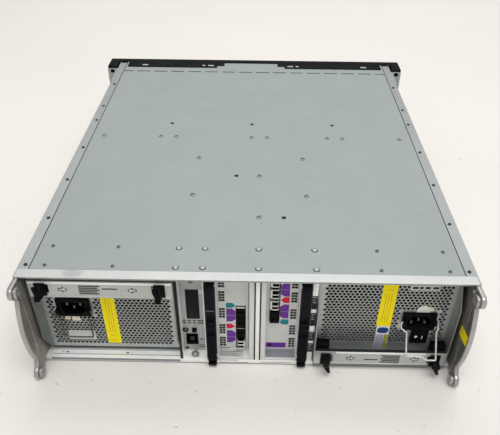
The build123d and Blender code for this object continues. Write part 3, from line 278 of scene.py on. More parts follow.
grey_ink_and_shade = print_film("grey_ink_and_shade", (118, 119, 118), 0.55)


# Mesh building

ROUND_STEPS = 2
SOFT_CREASE = 35
DOUBLES = 1e-6


def smooth_by_angle(bm, degrees):
    """Smooth faces, with every edge sharper than the angle left hard."""
    limit = math.radians(degrees)
    for face in bm.faces:
        face.smooth = True
    for edge in bm.edges:
        edge.smooth = len(edge.link_faces) == 2 and edge.calc_face_angle(0.0) < limit


def piece(name, bm, materials, body, matrix=TO_METRES, crease=40, replaces=()):
    """Make an object of a finished mesh, let it ride on a body and stand for CAD nodes."""
    bmesh.ops.recalc_face_normals(bm, faces=bm.faces)
    smooth_by_angle(bm, crease)
    mesh = bpy.data.meshes.new(name)
    bm.to_mesh(mesh)
    bm.free()
    mesh.transform(matrix)
    for material in materials if isinstance(materials, (list, tuple)) else [materials]:
        mesh.materials.append(material)
    made = bpy.data.objects.new(name, mesh)
    bpy.context.scene.collection.objects.link(made)
    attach(made, body)
    if replaces:
        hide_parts(*replaces)
    return made


def round_edges(bm, edges, offset, segments=ROUND_STEPS, clamp=False):
    """Round edges over."""
    options = {"segments": segments, "profile": 0.5, "affect": "EDGES", "clamp_overlap": clamp}
    bmesh.ops.bevel(bm, geom=edges, offset=offset, **options)


def add_box(bm, low, high, bevel=0.0, material=0):
    """Add a box with rounded edges."""
    low, high = Vector(low), Vector(high)
    place = Matrix.Translation((low + high) / 2) @ Matrix.Diagonal((*(high - low), 1))
    made = bmesh.ops.create_cube(bm, size=1, matrix=place)
    faces = {f for v in made["verts"] for f in v.link_faces}
    for face in faces:
        face.material_index = material
    if bevel:
        round_edges(bm, list({e for f in faces for e in f.edges}), bevel)


def add_prism(bm, outline, low, high, axis="Y", bevel=0.0, material=0, segments=ROUND_STEPS):
    """Add an outline extruded along an axis; its points are the other two coordinates in order."""
    def place(point, depth):
        a, b = point
        return {"X": (depth, a, b), "Y": (a, depth, b), "Z": (a, b, depth)}[axis]
    bottom = [bm.verts.new(place(p, low)) for p in outline]
    top = [bm.verts.new(place(p, high)) for p in outline]
    faces = [bm.faces.new(bottom), bm.faces.new(top[::-1])]
    rims = list(faces[0].edges) + list(faces[1].edges)
    count = len(outline)
    for i in range(count):
        j = (i + 1) % count
        faces.append(bm.faces.new((bottom[j], bottom[i], top[i], top[j])))
    for face in faces:
        face.material_index = material
    if bevel:
        bmesh.ops.recalc_face_normals(bm, faces=faces)
        round_edges(bm, rims, bevel, segments)


def add_lathe(bm, profile, centre, axis="Z", segments=24, material=0, second_material_from=None):
    """Add a turned form: profile is (radius, height) from the rim to the axis or back."""
    rings = []
    turn = {
        "Z": Matrix.Identity(3),
        "X": Matrix.Rotation(math.pi / 2, 3, "Y"),
        "Y": Matrix.Rotation(-math.pi / 2, 3, "X"),
    }[axis]
    for radius, height in profile:
        if radius < DOUBLES:
            rings.append([bm.verts.new(turn @ Vector((0, 0, height)) + Vector(centre))])
            continue
        ring = []
        for i in range(segments):
            angle = 2 * math.pi * i / segments
            point = Vector((radius * math.cos(angle), radius * math.sin(angle), height))
            ring.append(bm.verts.new(turn @ point + Vector(centre)))
        rings.append(ring)
    for k in range(len(rings) - 1):
        a, b = rings[k], rings[k + 1]
        index = 1 if second_material_from is not None and k >= second_material_from else material
        for i in range(segments):
            j = (i + 1) % segments
            corners = [a[i % len(a)], a[j % len(a)], b[j % len(b)], b[i % len(b)]]
            corners = list(dict.fromkeys(corners))
            if len(corners) > 2:
                bm.faces.new(corners).material_index = index
    for ring in (rings[0], rings[-1]):
        if len(ring) > 2:
            bm.faces.new(ring).material_index = material


def arc(centre, radius, start, end, steps=8):
    """Points of a circular arc, angles in degrees."""
    points = []
    for i in range(steps + 1):
        angle = math.radians(start + (end - start) * i / steps)
        points.append((centre[0] + radius * math.cos(angle), centre[1] + radius * math.sin(angle)))
    return points


def circle(centre, radius, sides=24):
    """Points once round a circle."""
    return arc(centre, radius, 0, 360 - 360 / sides, sides - 1)


def rounded_rectangle(low, high, radius, steps=4):
    """Outline of a rectangle with round corners."""
    (x0, y0), (x1, y1) = low, high
    r = radius
    return (
        arc((x1 - r, y0 + r), r, -90, 0, steps)
        + arc((x1 - r, y1 - r), r, 0, 90, steps)
        + arc((x0 + r, y1 - r), r, 90, 180, steps)
        + arc((x0 + r, y0 + r), r, 180, 270, steps)
    )


def add_loft(bm, rings):
    """Join rings of points by faces and close both ends."""
    rings = [[bm.verts.new(point) for point in ring] for ring in rings]
    sides = len(rings[0])
    for a, b in zip(rings, rings[1:]):
        for i in range(sides):
            j = (i + 1) % sides
            bm.faces.new((a[i], a[j], b[j], b[i]))
    bm.faces.new(rings[0])
    bm.faces.new(rings[-1])


def add_tube(bm, path, radius, corner, sides=12, steps=5):
    """Add a round wire along a path, bent to a radius at each corner."""
    path = [Vector(p) for p in path]
    line = [path[0]]
    for before, bend, after in zip(path, path[1:], path[2:]):
        u, v = (before - bend).normalized(), (after - bend).normalized()
        half_angle = u.angle(v) / 2
        centre = bend + (u + v).normalized() * corner / math.sin(half_angle)
        start = bend + u * corner / math.tan(half_angle) - centre
        end = bend + v * corner / math.tan(half_angle) - centre
        axis, sweep = start.cross(end), start.angle(end)
        line += [centre + Matrix.Rotation(sweep * i / steps, 3, axis) @ start for i in range(steps + 1)]
    line.append(path[-1])
    across = (line[1] - line[0]).orthogonal().normalized()
    angles = [2 * math.pi * k / sides for k in range(sides)]
    rings = []
    for i, point in enumerate(line):
        along = (line[min(i + 1, len(line) - 1)] - line[max(i - 1, 0)]).normalized()
        across = (across - along * across.dot(along)).normalized()
        other = along.cross(across)
        rings.append([point + radius * (math.cos(a) * across + math.sin(a) * other) for a in angles])
    add_loft(bm, rings)


def solid_mesh(node):
    """Mesh of a CAD node with its shared corners joined, in metres."""
    bm = bmesh.new()
    bm.from_mesh(nodes[node].data)
    bmesh.ops.remove_doubles(bm, verts=bm.verts, dist=DOUBLES)
    return bm


def islands(node):
    """Lowest and highest corner of each separate solid in a CAD node, in millimetres."""
    bm = solid_mesh(node)
    waiting = set(bm.verts)
    found = []
    while waiting:
        group = [waiting.pop()]
        for vertex in group:
            for edge in vertex.link_edges:
                other = edge.other_vert(vertex)
                if other in waiting:
                    waiting.discard(other)
                    group.append(other)
        low = Vector([min(v.co[i] for v in group) for i in range(3)]) / MM
        high = Vector([max(v.co[i] for v in group) for i in range(3)]) / MM
        found.append((low, high))
    bm.free()
    return sorted(found, key=lambda corners: tuple(corners[0]))


def soften(node, material, bevel):
    """Stand a copy of a CAD node, with its hard edges rounded over, in its place."""
    bm = solid_mesh(node)
    bmesh.ops.scale(bm, vec=(1 / MM,) * 3, verts=bm.verts)
    bmesh.ops.dissolve_limit(bm, angle_limit=math.radians(1), verts=bm.verts, edges=bm.edges)
    crease = math.radians(SOFT_CREASE)
    sharp = [e for e in bm.edges if len(e.link_faces) == 2 and e.calc_face_angle(0) > crease]
    round_edges(bm, sharp, bevel, clamp=True)
    for face in bm.faces:
        face.material_index = 0
    piece(f"{node}_skin", bm, material, body_of_node[node], replaces=(node,))


def paint(node, material):
    """Give a CAD node that is shown as it is its finish."""
    nodes[node].data.materials.clear()
    nodes[node].data.materials.append(material)


def middle(node):
    """Middle of a CAD node, in millimetres."""
    return [(a + b) / 2 for a, b in zip(*span(node))]


# Chassis sheet and frame pieces

for name, material, edge in (
    ("chassis_shell", flange_metal, 0.4),
    ("top_cover", cover_metal, 0.25),
    ("rear_sill", zinc_painted_lit, 0.3),
    ("bay_divider_plates", zinc_painted_lit, 0.25),
    ("bay_post_centre", zinc_painted_lit, 0.3),
    ("bay_post_right", zinc_painted_lit, 0.3),
    ("rack_ear_left", flange_metal, 0.4),
    ("rack_ear_right", flange_metal, 0.4),
    ("bezel_shell", bezel_plastic, 0.8),
    ("bezel_grille", bezel_plastic, 0.6),
    ("bezel_latch_left", bezel_plastic, 0.4),
    ("bezel_latch_right", bezel_plastic, 0.4),
    ("bezel_lock", pin_metal, 0.25),
    ("disk_carriers", carrier_plastic, 0.5),
    ("disk_latches", carrier_plastic, 0.6),
    ("id_panel", number_metal_shaded, 0.2),
    ("id_jack", black_plastic, 0.25),
    ("id_button", black_plastic, 0.4),
):
    soften(name, material, edge)
for name, material in (
    ("midplane_board", board_green),
    ("disk_guides", carrier_plastic),
    ("disk_drives", drive_metal),
):
    paint(name, material)


# Rear top rail: bent sheet with a short lip over the bays

RAIL_LIP = 2.2
RAIL_BEND = 1.2
RAIL_SHADE_INSET = 0.5
RAIL_SHADE_PROUD = 0.03
rail_low, rail_high = span("rear_top_rail")
lip_z = rail_high.z - RAIL_LIP
rail_profile = [
    (rail_high.y, rail_high.z), (rail_high.y, rail_high.z - SHEET), (rail_low.y + SHEET, rail_high.z - SHEET),
    (rail_low.y + SHEET, lip_z), (rail_low.y, lip_z),
] + arc((rail_low.y + RAIL_BEND, rail_high.z - RAIL_BEND), RAIL_BEND, 180, 90, 5)
bm = bmesh.new()
add_prism(bm, rail_profile, rail_low.x, rail_high.x, axis="X")
piece("rear_top_rail_skin", bm, rail_zinc_painted_dim, "chassis", crease=25,
      replaces=("rear_top_rail",))
# Painted shade: a strip in the housing's darker grey over the lip's rear face.
bm = bmesh.new()
lip_shade_low = (rail_low.x + RAIL_SHADE_INSET, rail_low.y - RAIL_SHADE_PROUD, lip_z)
add_box(bm, lip_shade_low, (rail_high.x - RAIL_SHADE_INSET, rail_low.y, rail_high.z - RAIL_BEND / 2))
piece("rear_top_rail_lip_shade", bm, housing_metal, "chassis")


# Painted shade: black lines in the gaps where the sheets and bays meet, and slate lines on the sill's creases

SHADE_GAP_WIDTH = 1.0
SHADE_FILM_HEIGHT = 0.04
FLANGE_WIDTH = 11.7
DIVIDER_SHADE = (1.4, 0.1)
POST_SHADE = (0.75, 0.6)
BAY_SHADE_PROUD = (0.15, 0.03)
BAY_SHADE_ENDS = (0.2, 0.3)
SILL_SHADE_LINES = ((-31.0, -9.0, 5.6), (-29.0, 2.0, 1.9), (16.0, 49.0, 3.2))
SILL_SHADE_HEIGHT = 0.6
SILL_SHADE_PROUD = (0.06, 0.01)
SILL_CREASES = (18.0, 11.6)
SILL_CREASE_WIDTH = 0.8
SILL_BAND_PROUD = (0.05, 0.01)
SILL_BAND_INSET = (0.7, 1.4)
SILL_END_GAP = 8.0
SILL_DIVIDER_GAP = 2.0
cover_low, cover_high = span("top_cover")
cover_top = cover_high.z
# Black painted shade in the cover's seams along the flanges, by the divider and the posts, and on the sill.
bm = bmesh.new()
for side in (-1, 1):
    x = side * (half_width - FLANGE_WIDTH)
    low = (x - SHADE_GAP_WIDTH / 2, cover_low.y, shell_high.z)
    add_box(bm, low, (x + SHADE_GAP_WIDTH / 2, cover_high.y, shell_high.z + SHADE_FILM_HEIGHT))
divider_low, divider_high = islands("bay_divider_plates")[0]
centre_low, centre_high = span("bay_post_centre")
for x0, x1, edge in (
    (divider_low.x - DIVIDER_SHADE[0], divider_high.x + DIVIDER_SHADE[1], divider_low),
    (centre_low.x - POST_SHADE[0], centre_low.x + POST_SHADE[1], centre_low),
    (centre_high.x - POST_SHADE[1], centre_high.x + POST_SHADE[0], centre_low),
):
    low = (x0, edge.y - BAY_SHADE_PROUD[0], edge.z + BAY_SHADE_ENDS[0])
    add_box(bm, low, (x1, edge.y - BAY_SHADE_PROUD[1], rail_high.z - SHEET - BAY_SHADE_ENDS[1]))
sill_low, sill_high = span("rear_sill")
near, far = (sill_low.y - proud for proud in SILL_SHADE_PROUD)
for x0, x1, z in SILL_SHADE_LINES:
    add_box(bm, (x0, near, z), (x1, far, z + SILL_SHADE_HEIGHT))
piece("bay_shade_gaps", bm, shade_and_seam_black, "chassis")
# Slate painted shade along the sill's two creases, and a slate band along the sill's rear face.
bm = bmesh.new()
sill_left, sill_right = sill_low.x + SILL_END_GAP, divider_low.x - SILL_DIVIDER_GAP
for depth in SILL_CREASES:
    y = rear_y + depth
    add_box(bm, (sill_left, y, sill_high.z), (sill_right, y + SILL_CREASE_WIDTH, sill_high.z + SHADE_FILM_HEIGHT))
near, far = (sill_low.y - proud for proud in SILL_BAND_PROUD)
low = (sill_left, near, sill_low.z + SILL_BAND_INSET[0])
add_box(bm, low, (sill_right, far, sill_high.z - SILL_BAND_INSET[1]))
piece("sill_crease_shade_and_band", bm, label["slate"], "chassis")


# Fasteners on the top: a head is rings of radius and height shares, and its faces from a ring on are painted
# shade: the screws' and flat rivets' hollows, and a contact-shadow skirt round the domed rivets

SCREW_HEAD = ((0.74, 0), (0.74, 0.45), (0.629, 0.85), (0.3848, 1), (0.3108, 1), (0.2664, 0.3), (0, 0.3))
RIVET_HEAD = ((1, 0), (1, 0.2), (0.86, 0.62), (0.56, 0.95), (0.36, 1), (0.3, 0.5), (0, 0.5))
DOME_HEAD = ((0, 1), (0.3, 1), (0.66, 0.9), (0.88, 0.62), (0.95, 0.3), (1.06, 0.1), (1.14, 0.02), (1.14, 0))
HEAD_SHADE_FROM = 4
REAR_RIVET_DEPTH = 60.0


def fasteners(name, node, head, material, chosen=lambda low: True, replaces=()):
    """Round heads where the CAD node has its plain ones."""
    bm = bmesh.new()
    for low, high in islands(node):
        if chosen(low):
            radius = (high.x - low.x) / 2
            height = high.z - cover_top
            profile = [(radius * r, cover_top + height * h) for r, h in head]
            centre = ((low.x + high.x) / 2, (low.y + high.y) / 2, 0)
            add_lathe(bm, profile, centre, second_material_from=HEAD_SHADE_FROM)
    piece(name, bm, [material, shade_and_seam_black], "chassis", replaces=replaces)


def near_rear(low):
    return low.y < rear_y + REAR_RIVET_DEPTH


fasteners("flange_screw_heads", "flange_screws", SCREW_HEAD, screw_dark, replaces=("flange_screws",))
fasteners("cover_screw_heads", "cover_screws", SCREW_HEAD, screw_grey, replaces=("cover_screws",))
fasteners("rear_rivet_heads", "cover_rivets", DOME_HEAD, rivet_bright, near_rear, ("cover_rivets",))
fasteners("middle_rivet_heads", "cover_rivets", RIVET_HEAD, rivet_dull, lambda low: not near_rear(low))


# Painted shade over the mouths of the cover's holes and air slots, and pale patches of painted light in the
# bezel's top slots, where the lit cover shows through

COVER_HOLES = ((0.0, 312.0), (-110.0, 312.0), (110.0, 312.0), (-16.5, 182.0), (38.3, 100.0))
COVER_HOLE_RADIUS = 2.6
SLOT_SETBACK = 36.0
SLOT_SIZE = (21.0, 2.6)
BEZEL_SLOT_LIGHTS = ((-179.6, 9.5), (-83.0, 4.5), (-71.3, 9.5), (59.6, 9.5), (70.7, 4.5), (179.6, 9.5))
BEZEL_SLOT_DEPTH = 511.5
BEZEL_SLOT_HALF = 1.9
BEZEL_SLOT_SINK = 0.4
BEZEL_SLOT_PROUD = 0.02
# Black painted shade over the holes and slots.
bm = bmesh.new()
for x, depth in COVER_HOLES:
    outline = circle((x, rear_y + depth), COVER_HOLE_RADIUS)
    add_prism(bm, outline, cover_top, cover_top + SHADE_FILM_HEIGHT, axis="Z")
slot_y = shell_high.y - SLOT_SETBACK
slot_limit = half_width - FLANGE_WIDTH - SHADE_GAP_WIDTH
columns = [(low.x + high.x) / 2 for low, high in islands("disk_drives")]
disk_pitch = columns[1] - columns[0]
for i in range(len(columns) + 1):
    x = columns[0] + (i - 0.5) * disk_pitch
    left = max(x - SLOT_SIZE[0] / 2, -slot_limit)
    right = min(x + SLOT_SIZE[0] / 2, slot_limit)
    low = (left, slot_y - SLOT_SIZE[1] / 2, cover_top)
    add_box(bm, low, (right, slot_y + SLOT_SIZE[1] / 2, cover_top + SHADE_FILM_HEIGHT))
piece("cover_hole_shade", bm, shade_and_seam_black, "chassis")
bezel_top = span("bezel_shell")[1].z
# Pale painted light in the bezel's slots, standing for the lit cover seen through them.
bm = bmesh.new()
for x, width in BEZEL_SLOT_LIGHTS:
    y = rear_y + BEZEL_SLOT_DEPTH
    low = (x - width / 2, y - BEZEL_SLOT_HALF, bezel_top - BEZEL_SLOT_SINK)
    add_box(bm, low, (x + width / 2, y + BEZEL_SLOT_HALF, bezel_top + BEZEL_SLOT_PROUD))
piece("bezel_slot_light", bm, label["grey"], "bezel")


# Rear wings: bowed cast plates with a grooved boss at each end

WING_THICKNESS = 5.0
WING_BOSS_RADIUS = 7.5
WING_DRUM_RADIUS = 6.0
WING_DRUM_CHAMFER = (0.8, 0.7)
WING_DIMPLE_RADII = (1.9, 2.1)
WING_DIMPLE_DEPTH = 1.6
WING_GROOVE_RADIUS = 4.4
WING_GROOVE_WIDTH = 1.4
WING_GROOVE_SLOPE = 0.2
WING_DRUM_SINK = 0.4
WING_NECK_REACH = 11.0
WING_NECK_INSET = 22.5
WING_BULGE_REACH = 19.5
WING_RIM_WIDTH = 1.8
WING_CHEEK_DEPTH = 0.5
WING_EDGE = 1.3
WING_TONGUE_THICKNESS = 3.2
WING_TONGUE_EDGE = 0.4


def wing(node, side, face):
    """One wing, drawn on the right and mirrored over for the left."""
    low, high = span(node)
    inner = half_width - WING_THICKNESS
    drum_face = min(abs(low.x), abs(high.x))
    boss_y = low.y + WING_BOSS_RADIUS
    boss_top = high.z - WING_BOSS_RADIUS
    boss_bottom = low.z + WING_BOSS_RADIUS
    chord = shell_high.z / 2 - WING_NECK_INSET
    rise = WING_BULGE_REACH - WING_NECK_REACH
    bow_radius = (chord**2 + rise**2) / (2 * rise)
    bow_half = math.degrees(math.asin(chord / bow_radius))
    bow_centre = (rear_y - WING_BULGE_REACH + bow_radius, mid_z)
    outline = [(rear_y, shell_high.z - SHEET)]
    outline += arc((boss_y, boss_top), WING_BOSS_RADIUS, 90, 258, 14)
    outline += arc(bow_centre, bow_radius, 180 - bow_half, 180 + bow_half, 20)
    outline += arc((boss_y, boss_bottom), WING_BOSS_RADIUS, 102, 270, 14)
    outline += [(rear_y, SHEET)]
    bm = bmesh.new()
    add_prism(bm, outline, inner, half_width, axis="X", bevel=WING_EDGE, segments=3)
    bmesh.ops.recalc_face_normals(bm, faces=bm.faces)
    cheek = max((f for f in bm.faces if f.normal.x < -0.9), key=lambda f: f.calc_area())
    bmesh.ops.inset_region(bm, faces=[cheek], thickness=WING_RIM_WIDTH, depth=-WING_CHEEK_DEPTH)
    cheek.material_index = 1
    groove = inner - WING_GROOVE_WIDTH
    dimple = drum_face + WING_DIMPLE_DEPTH
    chamfer_in, chamfer_back = WING_DRUM_CHAMFER
    drum = (
        (0, dimple), (WING_DIMPLE_RADII[0], dimple), (WING_DIMPLE_RADII[1], drum_face),
        (WING_DRUM_RADIUS - chamfer_in, drum_face), (WING_DRUM_RADIUS, drum_face + chamfer_back),
        (WING_DRUM_RADIUS, groove), (WING_GROOVE_RADIUS, groove + WING_GROOVE_SLOPE),
        (WING_GROOVE_RADIUS, inner + WING_DRUM_SINK), (0, inner + WING_DRUM_SINK),
    )
    for boss_z in (boss_bottom, boss_top):
        add_lathe(bm, drum, (0, boss_y, boss_z), axis="X")
    tongue = half_width - SHEET
    tongue_low = (tongue - WING_TONGUE_THICKNESS, rear_y - WING_THICKNESS, boss_bottom)
    add_box(bm, tongue_low, (tongue, high.y, boss_top), bevel=WING_TONGUE_EDGE, material=1)
    bmesh.ops.transform(bm, matrix=Matrix.Diagonal((side, 1, 1, 1)), verts=bm.verts)
    piece(f"{node}_casting", bm, [wing_rim, face], "chassis", replaces=(node,))


wing("rear_wing_left", -1, wing_face_left_lit)
wing("rear_wing_right", 1, wing_face_right_shaded)


# Modules: depth is local Y, and the right modules are turned over about it

LABEL_THICKNESS = 0.12
PRINT_THICKNESS = 0.05
GREEK_THICKNESS = 0.04
INK_THICKNESS = 0.03
REAR = TO_METRES @ Matrix.Translation((0, rear_y, 0))


def module_frame(x, turned_over):
    turn = Matrix.Rotation(math.pi, 4, "Y") if turned_over else Matrix.Identity(4)
    return TO_METRES @ Matrix.Translation((x, rear_y, mid_z)) @ turn


def sticker(bm, low, high, depth, material=0, radius=0.5, thickness=LABEL_THICKNESS):
    """Add a thin label with round corners on a face at this depth."""
    add_prism(bm, rounded_rectangle(low, high, radius), depth - thickness, depth, material=material)


def disc(bm, centre, radius, depth, material=0, thickness=LABEL_THICKNESS):
    """Add a round label."""
    add_prism(bm, circle(centre, radius), depth - thickness, depth, material=material)


def stickers(name, materials, body, place, rows, discs=()):
    """Piece made of thin labels; each row is what sticker or disc takes."""
    bm = bmesh.new()
    for row in rows:
        sticker(bm, *row)
    for row in discs:
        disc(bm, *row)
    piece(name, bm, materials, body, place)


# Power supply modules: perforated panel

FACE_SETBACK = span("psu_left_grille")[0].y - rear_y
ON_LABEL = FACE_SETBACK - LABEL_THICKNESS
PSU_SHEET = 1.2
ENTRY_X = -37.5
ENTRY_Z = 6.0
ENTRY_FRONT = FACE_SETBACK - 3.0
INLET_HALF = (17.5, 12.0)
SWITCH_X = -41.4
SWITCH_LOW, SWITCH_HIGH = 18.0, 38.0
SWITCH_HALF = 9.0
ENTRY_CUT_INSET = 0.9
HOLE_PITCH = 4.4
HOLE_RADIUS = 1.95
HOLE_SIDES = 8
HOLE_MARGIN = 0.8
HOLE_FIELD_X = (-64.0, 59.2)
HOLE_FIELD_Z = (-49.2, 38.6)
SOLID = -1


def in_entry(x, z, margin):
    """Whether a place on the panel is in the power entry's cut-out grown by a margin."""
    inlet = abs(x - ENTRY_X) < INLET_HALF[0] + margin and abs(z - ENTRY_Z) < INLET_HALF[1] + margin
    switch = abs(x - SWITCH_X) < SWITCH_HALF + margin and SWITCH_LOW - margin < z < SWITCH_HIGH + margin
    return inlet or switch


def perforated_panel(name, place):
    """Rear panel with fine staggered holes, triangulated round them and thickened."""
    low, high = span(f"{name}_grille")
    half_x, half_z = (high.x - low.x) / 2, (high.z - low.z) / 2
    row_pitch = HOLE_PITCH * math.sqrt(3) / 2
    points, edges, owner = [], [], []

    def add_loop(loop, number):
        first = len(points)
        points.extend(Vector(p) for p in loop)
        owner.extend([number] * len(loop))
        edges.extend((first + i, first + (i + 1) % len(loop)) for i in range(len(loop)))

    add_loop([(-half_x, -half_z), (half_x, -half_z), (half_x, half_z), (-half_x, half_z)], SOLID)
    i, s = INLET_HALF[0] - ENTRY_CUT_INSET, SWITCH_HALF - ENTRY_CUT_INSET
    bottom, shoulder = ENTRY_Z - INLET_HALF[1] + ENTRY_CUT_INSET, SWITCH_LOW - ENTRY_CUT_INSET
    top = SWITCH_HIGH - ENTRY_CUT_INSET
    add_loop([
        (ENTRY_X - i, bottom), (ENTRY_X + i, bottom), (ENTRY_X + i, shoulder), (SWITCH_X + s, shoulder),
        (SWITCH_X + s, top), (SWITCH_X - s, top), (SWITCH_X - s, shoulder), (ENTRY_X - i, shoulder),
    ], SOLID)
    hole = 0
    rows = int((HOLE_FIELD_Z[1] - HOLE_FIELD_Z[0]) / row_pitch) + 1
    columns = int((HOLE_FIELD_X[1] - HOLE_FIELD_X[0]) / HOLE_PITCH)
    for row in range(rows):
        z = HOLE_FIELD_Z[0] + row * row_pitch
        for column in range(columns + 1):
            x = HOLE_FIELD_X[0] + (column + (row % 2) / 2) * HOLE_PITCH
            if not in_entry(x, z, HOLE_RADIUS + HOLE_MARGIN):
                add_loop(circle((x, z), HOLE_RADIUS, HOLE_SIDES), hole)
                hole += 1
    flat, _, triangles, sources, _, _ = delaunay_2d_cdt(points, edges, [], 0, DOUBLES, True)
    owners = [owner[source[0]] for source in sources]
    bm = bmesh.new()
    verts = [bm.verts.new((p.x, FACE_SETBACK, p.y)) for p in flat]
    for triangle in triangles:
        found = {owners[v] for v in triangle}
        x, z = sum((flat[v] for v in triangle), Vector((0, 0))) / 3
        in_hole = len(found) == 1 and SOLID not in found
        if not in_hole and not in_entry(x, z, -ENTRY_CUT_INSET):
            bm.faces.new([verts[v] for v in triangle])
    made = bmesh.ops.extrude_face_region(bm, geom=bm.faces[:])
    back = [v for v in made["geom"] if isinstance(v, bmesh.types.BMVert)]
    bmesh.ops.translate(bm, vec=(0, PSU_SHEET, 0), verts=back)
    node = f"{name}_grille"
    piece(f"{node}_fine", bm, panel_metal, name, place, replaces=(node,))


# Power supply modules: pull bar with its print, lips and squeeze tabs

BAR_SETBACK = 3.0
BAR_BOTTOM = 38.5
BAR_MIDDLE = 48.0
BAR_HALF = 69.6
ARROWS = ((-37.0, 1), (31.6, -1))
ARROW_Z = BAR_MIDDLE - 0.6
ARROW_LAYERS = ((0.6, 0.06, 0.0, 0), (-0.5, 0.1, 0.06, 1))
BAR_PLATE = ((-21.6, BAR_MIDDLE - 7.2), (0.6, BAR_MIDDLE + 6.0))
BAR_LINE = ((2.0, BAR_MIDDLE + 0.2), (17.0, BAR_MIDDLE + 1.8))
BAR_PRINT_LEFT = -21.0
BAR_PRINT_ENDS = (0.0, -2.4, -0.4, -3.0, -1.0)
BAR_PRINT_TOP = BAR_MIDDLE + 4.4
BAR_PRINT_PITCH = 2.5
BAR_PRINT_HALF = 0.85
BAR_LIPS = ((54.8, 57.4, 0.2), (37.4, 39.4, 0.6))
BAR_UPPER_LIP_HALF = (69.6, 47.3)
BAR_LIP_EDGE = 0.08
BAR_SHADE_DEPTH = (4.4, 8.0)
BAR_SHADE_PROUD = 0.06
BAR_SHADOW_LINE = (56.8, 57.5)
BAR_SHADOW_LINE_PROUD = 0.3
PANEL_SEAM = (-57.3, -56.2)
PANEL_SEAM_PROUD = 0.15
GUIDE_X = (54.0, 68.8)
GUIDE_Z = (32.0, 52.0)
GUIDE_DEPTH = (8.6, 17.0)
GUIDE_EDGE = 1.0
TIP_X = 57.4
TIP_ROOT = (50.0, 2.4, -9.6, -1.0)
TIP_END = (58.4, 1.5, -8.4, -5.4)
TIP_SLANT = -3.0


def arrow(x, z, direction, grow):
    """Outline of a plain block arrow that points along X, grown by a border width."""
    tip, neck, tail = 4.4 + 1.4 * grow, 0.4 - grow, -3.6 - grow
    shaft, barb = 1.3 + grow, 3.4 + 1.6 * grow
    outline = [
        (tail, -shaft), (neck, -shaft), (neck, -barb), (tip, 0), (neck, barb), (neck, shaft), (tail, shaft),
    ]
    return [(x + direction * dx, z + dz) for dx, dz in outline]


def bar_marks(name, place):
    """Two block arrows towards each other and a patch of greeked print between them."""
    bm = bmesh.new()
    for x, direction in ARROWS:
        for grow, near, far, material in ARROW_LAYERS:
            outline = arrow(x, ARROW_Z, direction, grow)
            add_prism(bm, outline, BAR_SETBACK - near, BAR_SETBACK - far, material=material)
    piece(f"{name}_bar_arrows", bm, [dark_ink_and_shade, label["pale"]], name, place)
    rows = [(*BAR_PLATE, BAR_SETBACK, 0)]
    for row, right in enumerate(BAR_PRINT_ENDS):
        z = BAR_PRINT_TOP - BAR_PRINT_PITCH * row
        low, high = (BAR_PRINT_LEFT, z - BAR_PRINT_HALF), (right, z + BAR_PRINT_HALF)
        rows.append((low, high, BAR_SETBACK - LABEL_THICKNESS, 1, 0.3, GREEK_THICKNESS))
    rows.append((*BAR_LINE, BAR_SETBACK, 1, 0.3, PRINT_THICKNESS))
    stickers(f"{name}_bar_print", [label["grey"], dark_ink_and_shade], name, place, rows)


def bar_edges(name, place, turned_over):
    """Lips along the bar, the one on the side that is up painted bright as a highlight, painted shade lines by
    them beside a dark seam line at the panel's edge, and the tabs' black ends.
    """
    bm = bmesh.new()
    for index, (low, high, proud) in enumerate(BAR_LIPS):
        # The lip on the side that is up is painted bright as a highlight.
        half, material = (BAR_UPPER_LIP_HALF[index], 0) if index == turned_over else (BAR_HALF, 1)
        corner = (half, BAR_SETBACK, high)
        add_box(bm, (-half, BAR_SETBACK - proud, low), corner, bevel=BAR_LIP_EDGE, material=material)
    piece(f"{name}_bar_lips", bm, [zinc_painted_lit, bar_metal], name, place)
    bm = bmesh.new()
    # Painted shade under the bar, and on the turned-over module along its lower edge; the first line is a dark
    # seam at the panel's edge.
    lines = [
        (FACE_SETBACK - PANEL_SEAM_PROUD, FACE_SETBACK, *PANEL_SEAM),
        (*BAR_SHADE_DEPTH, BAR_BOTTOM - BAR_SHADE_PROUD, BAR_BOTTOM),
    ]
    if turned_over:
        lines.append((BAR_SETBACK - BAR_SHADOW_LINE_PROUD, BAR_SETBACK, *BAR_SHADOW_LINE))
    for near, far, low, high in lines:
        add_box(bm, (-BAR_HALF, near, low), (BAR_HALF, far, high))
    piece(f"{name}_seam_and_shade_lines", bm, shade_and_seam_black, name, place)
    for tab, side in (("tab_outer", -1), ("tab_inner", 1)):
        bm = bmesh.new()
        low, high = zip(sorted(side * x for x in GUIDE_X), GUIDE_DEPTH, GUIDE_Z)
        add_box(bm, low, high, bevel=GUIDE_EDGE)
        rings = []
        for (z, half, near, far), slant in ((TIP_ROOT, 0.0), (TIP_END, TIP_SLANT)):
            x = side * TIP_X + slant
            corners = ((x - half, near), (x + half, near), (x + half, far), (x - half, far))
            rings.append([(u, depth, z) for u, depth in corners])
        add_loft(bm, rings)
        piece(f"{name}_{tab}_block", bm, black_plastic, f"{name}_{tab}", place)


# Power supply modules: inlet pins, switch marks and plug bail

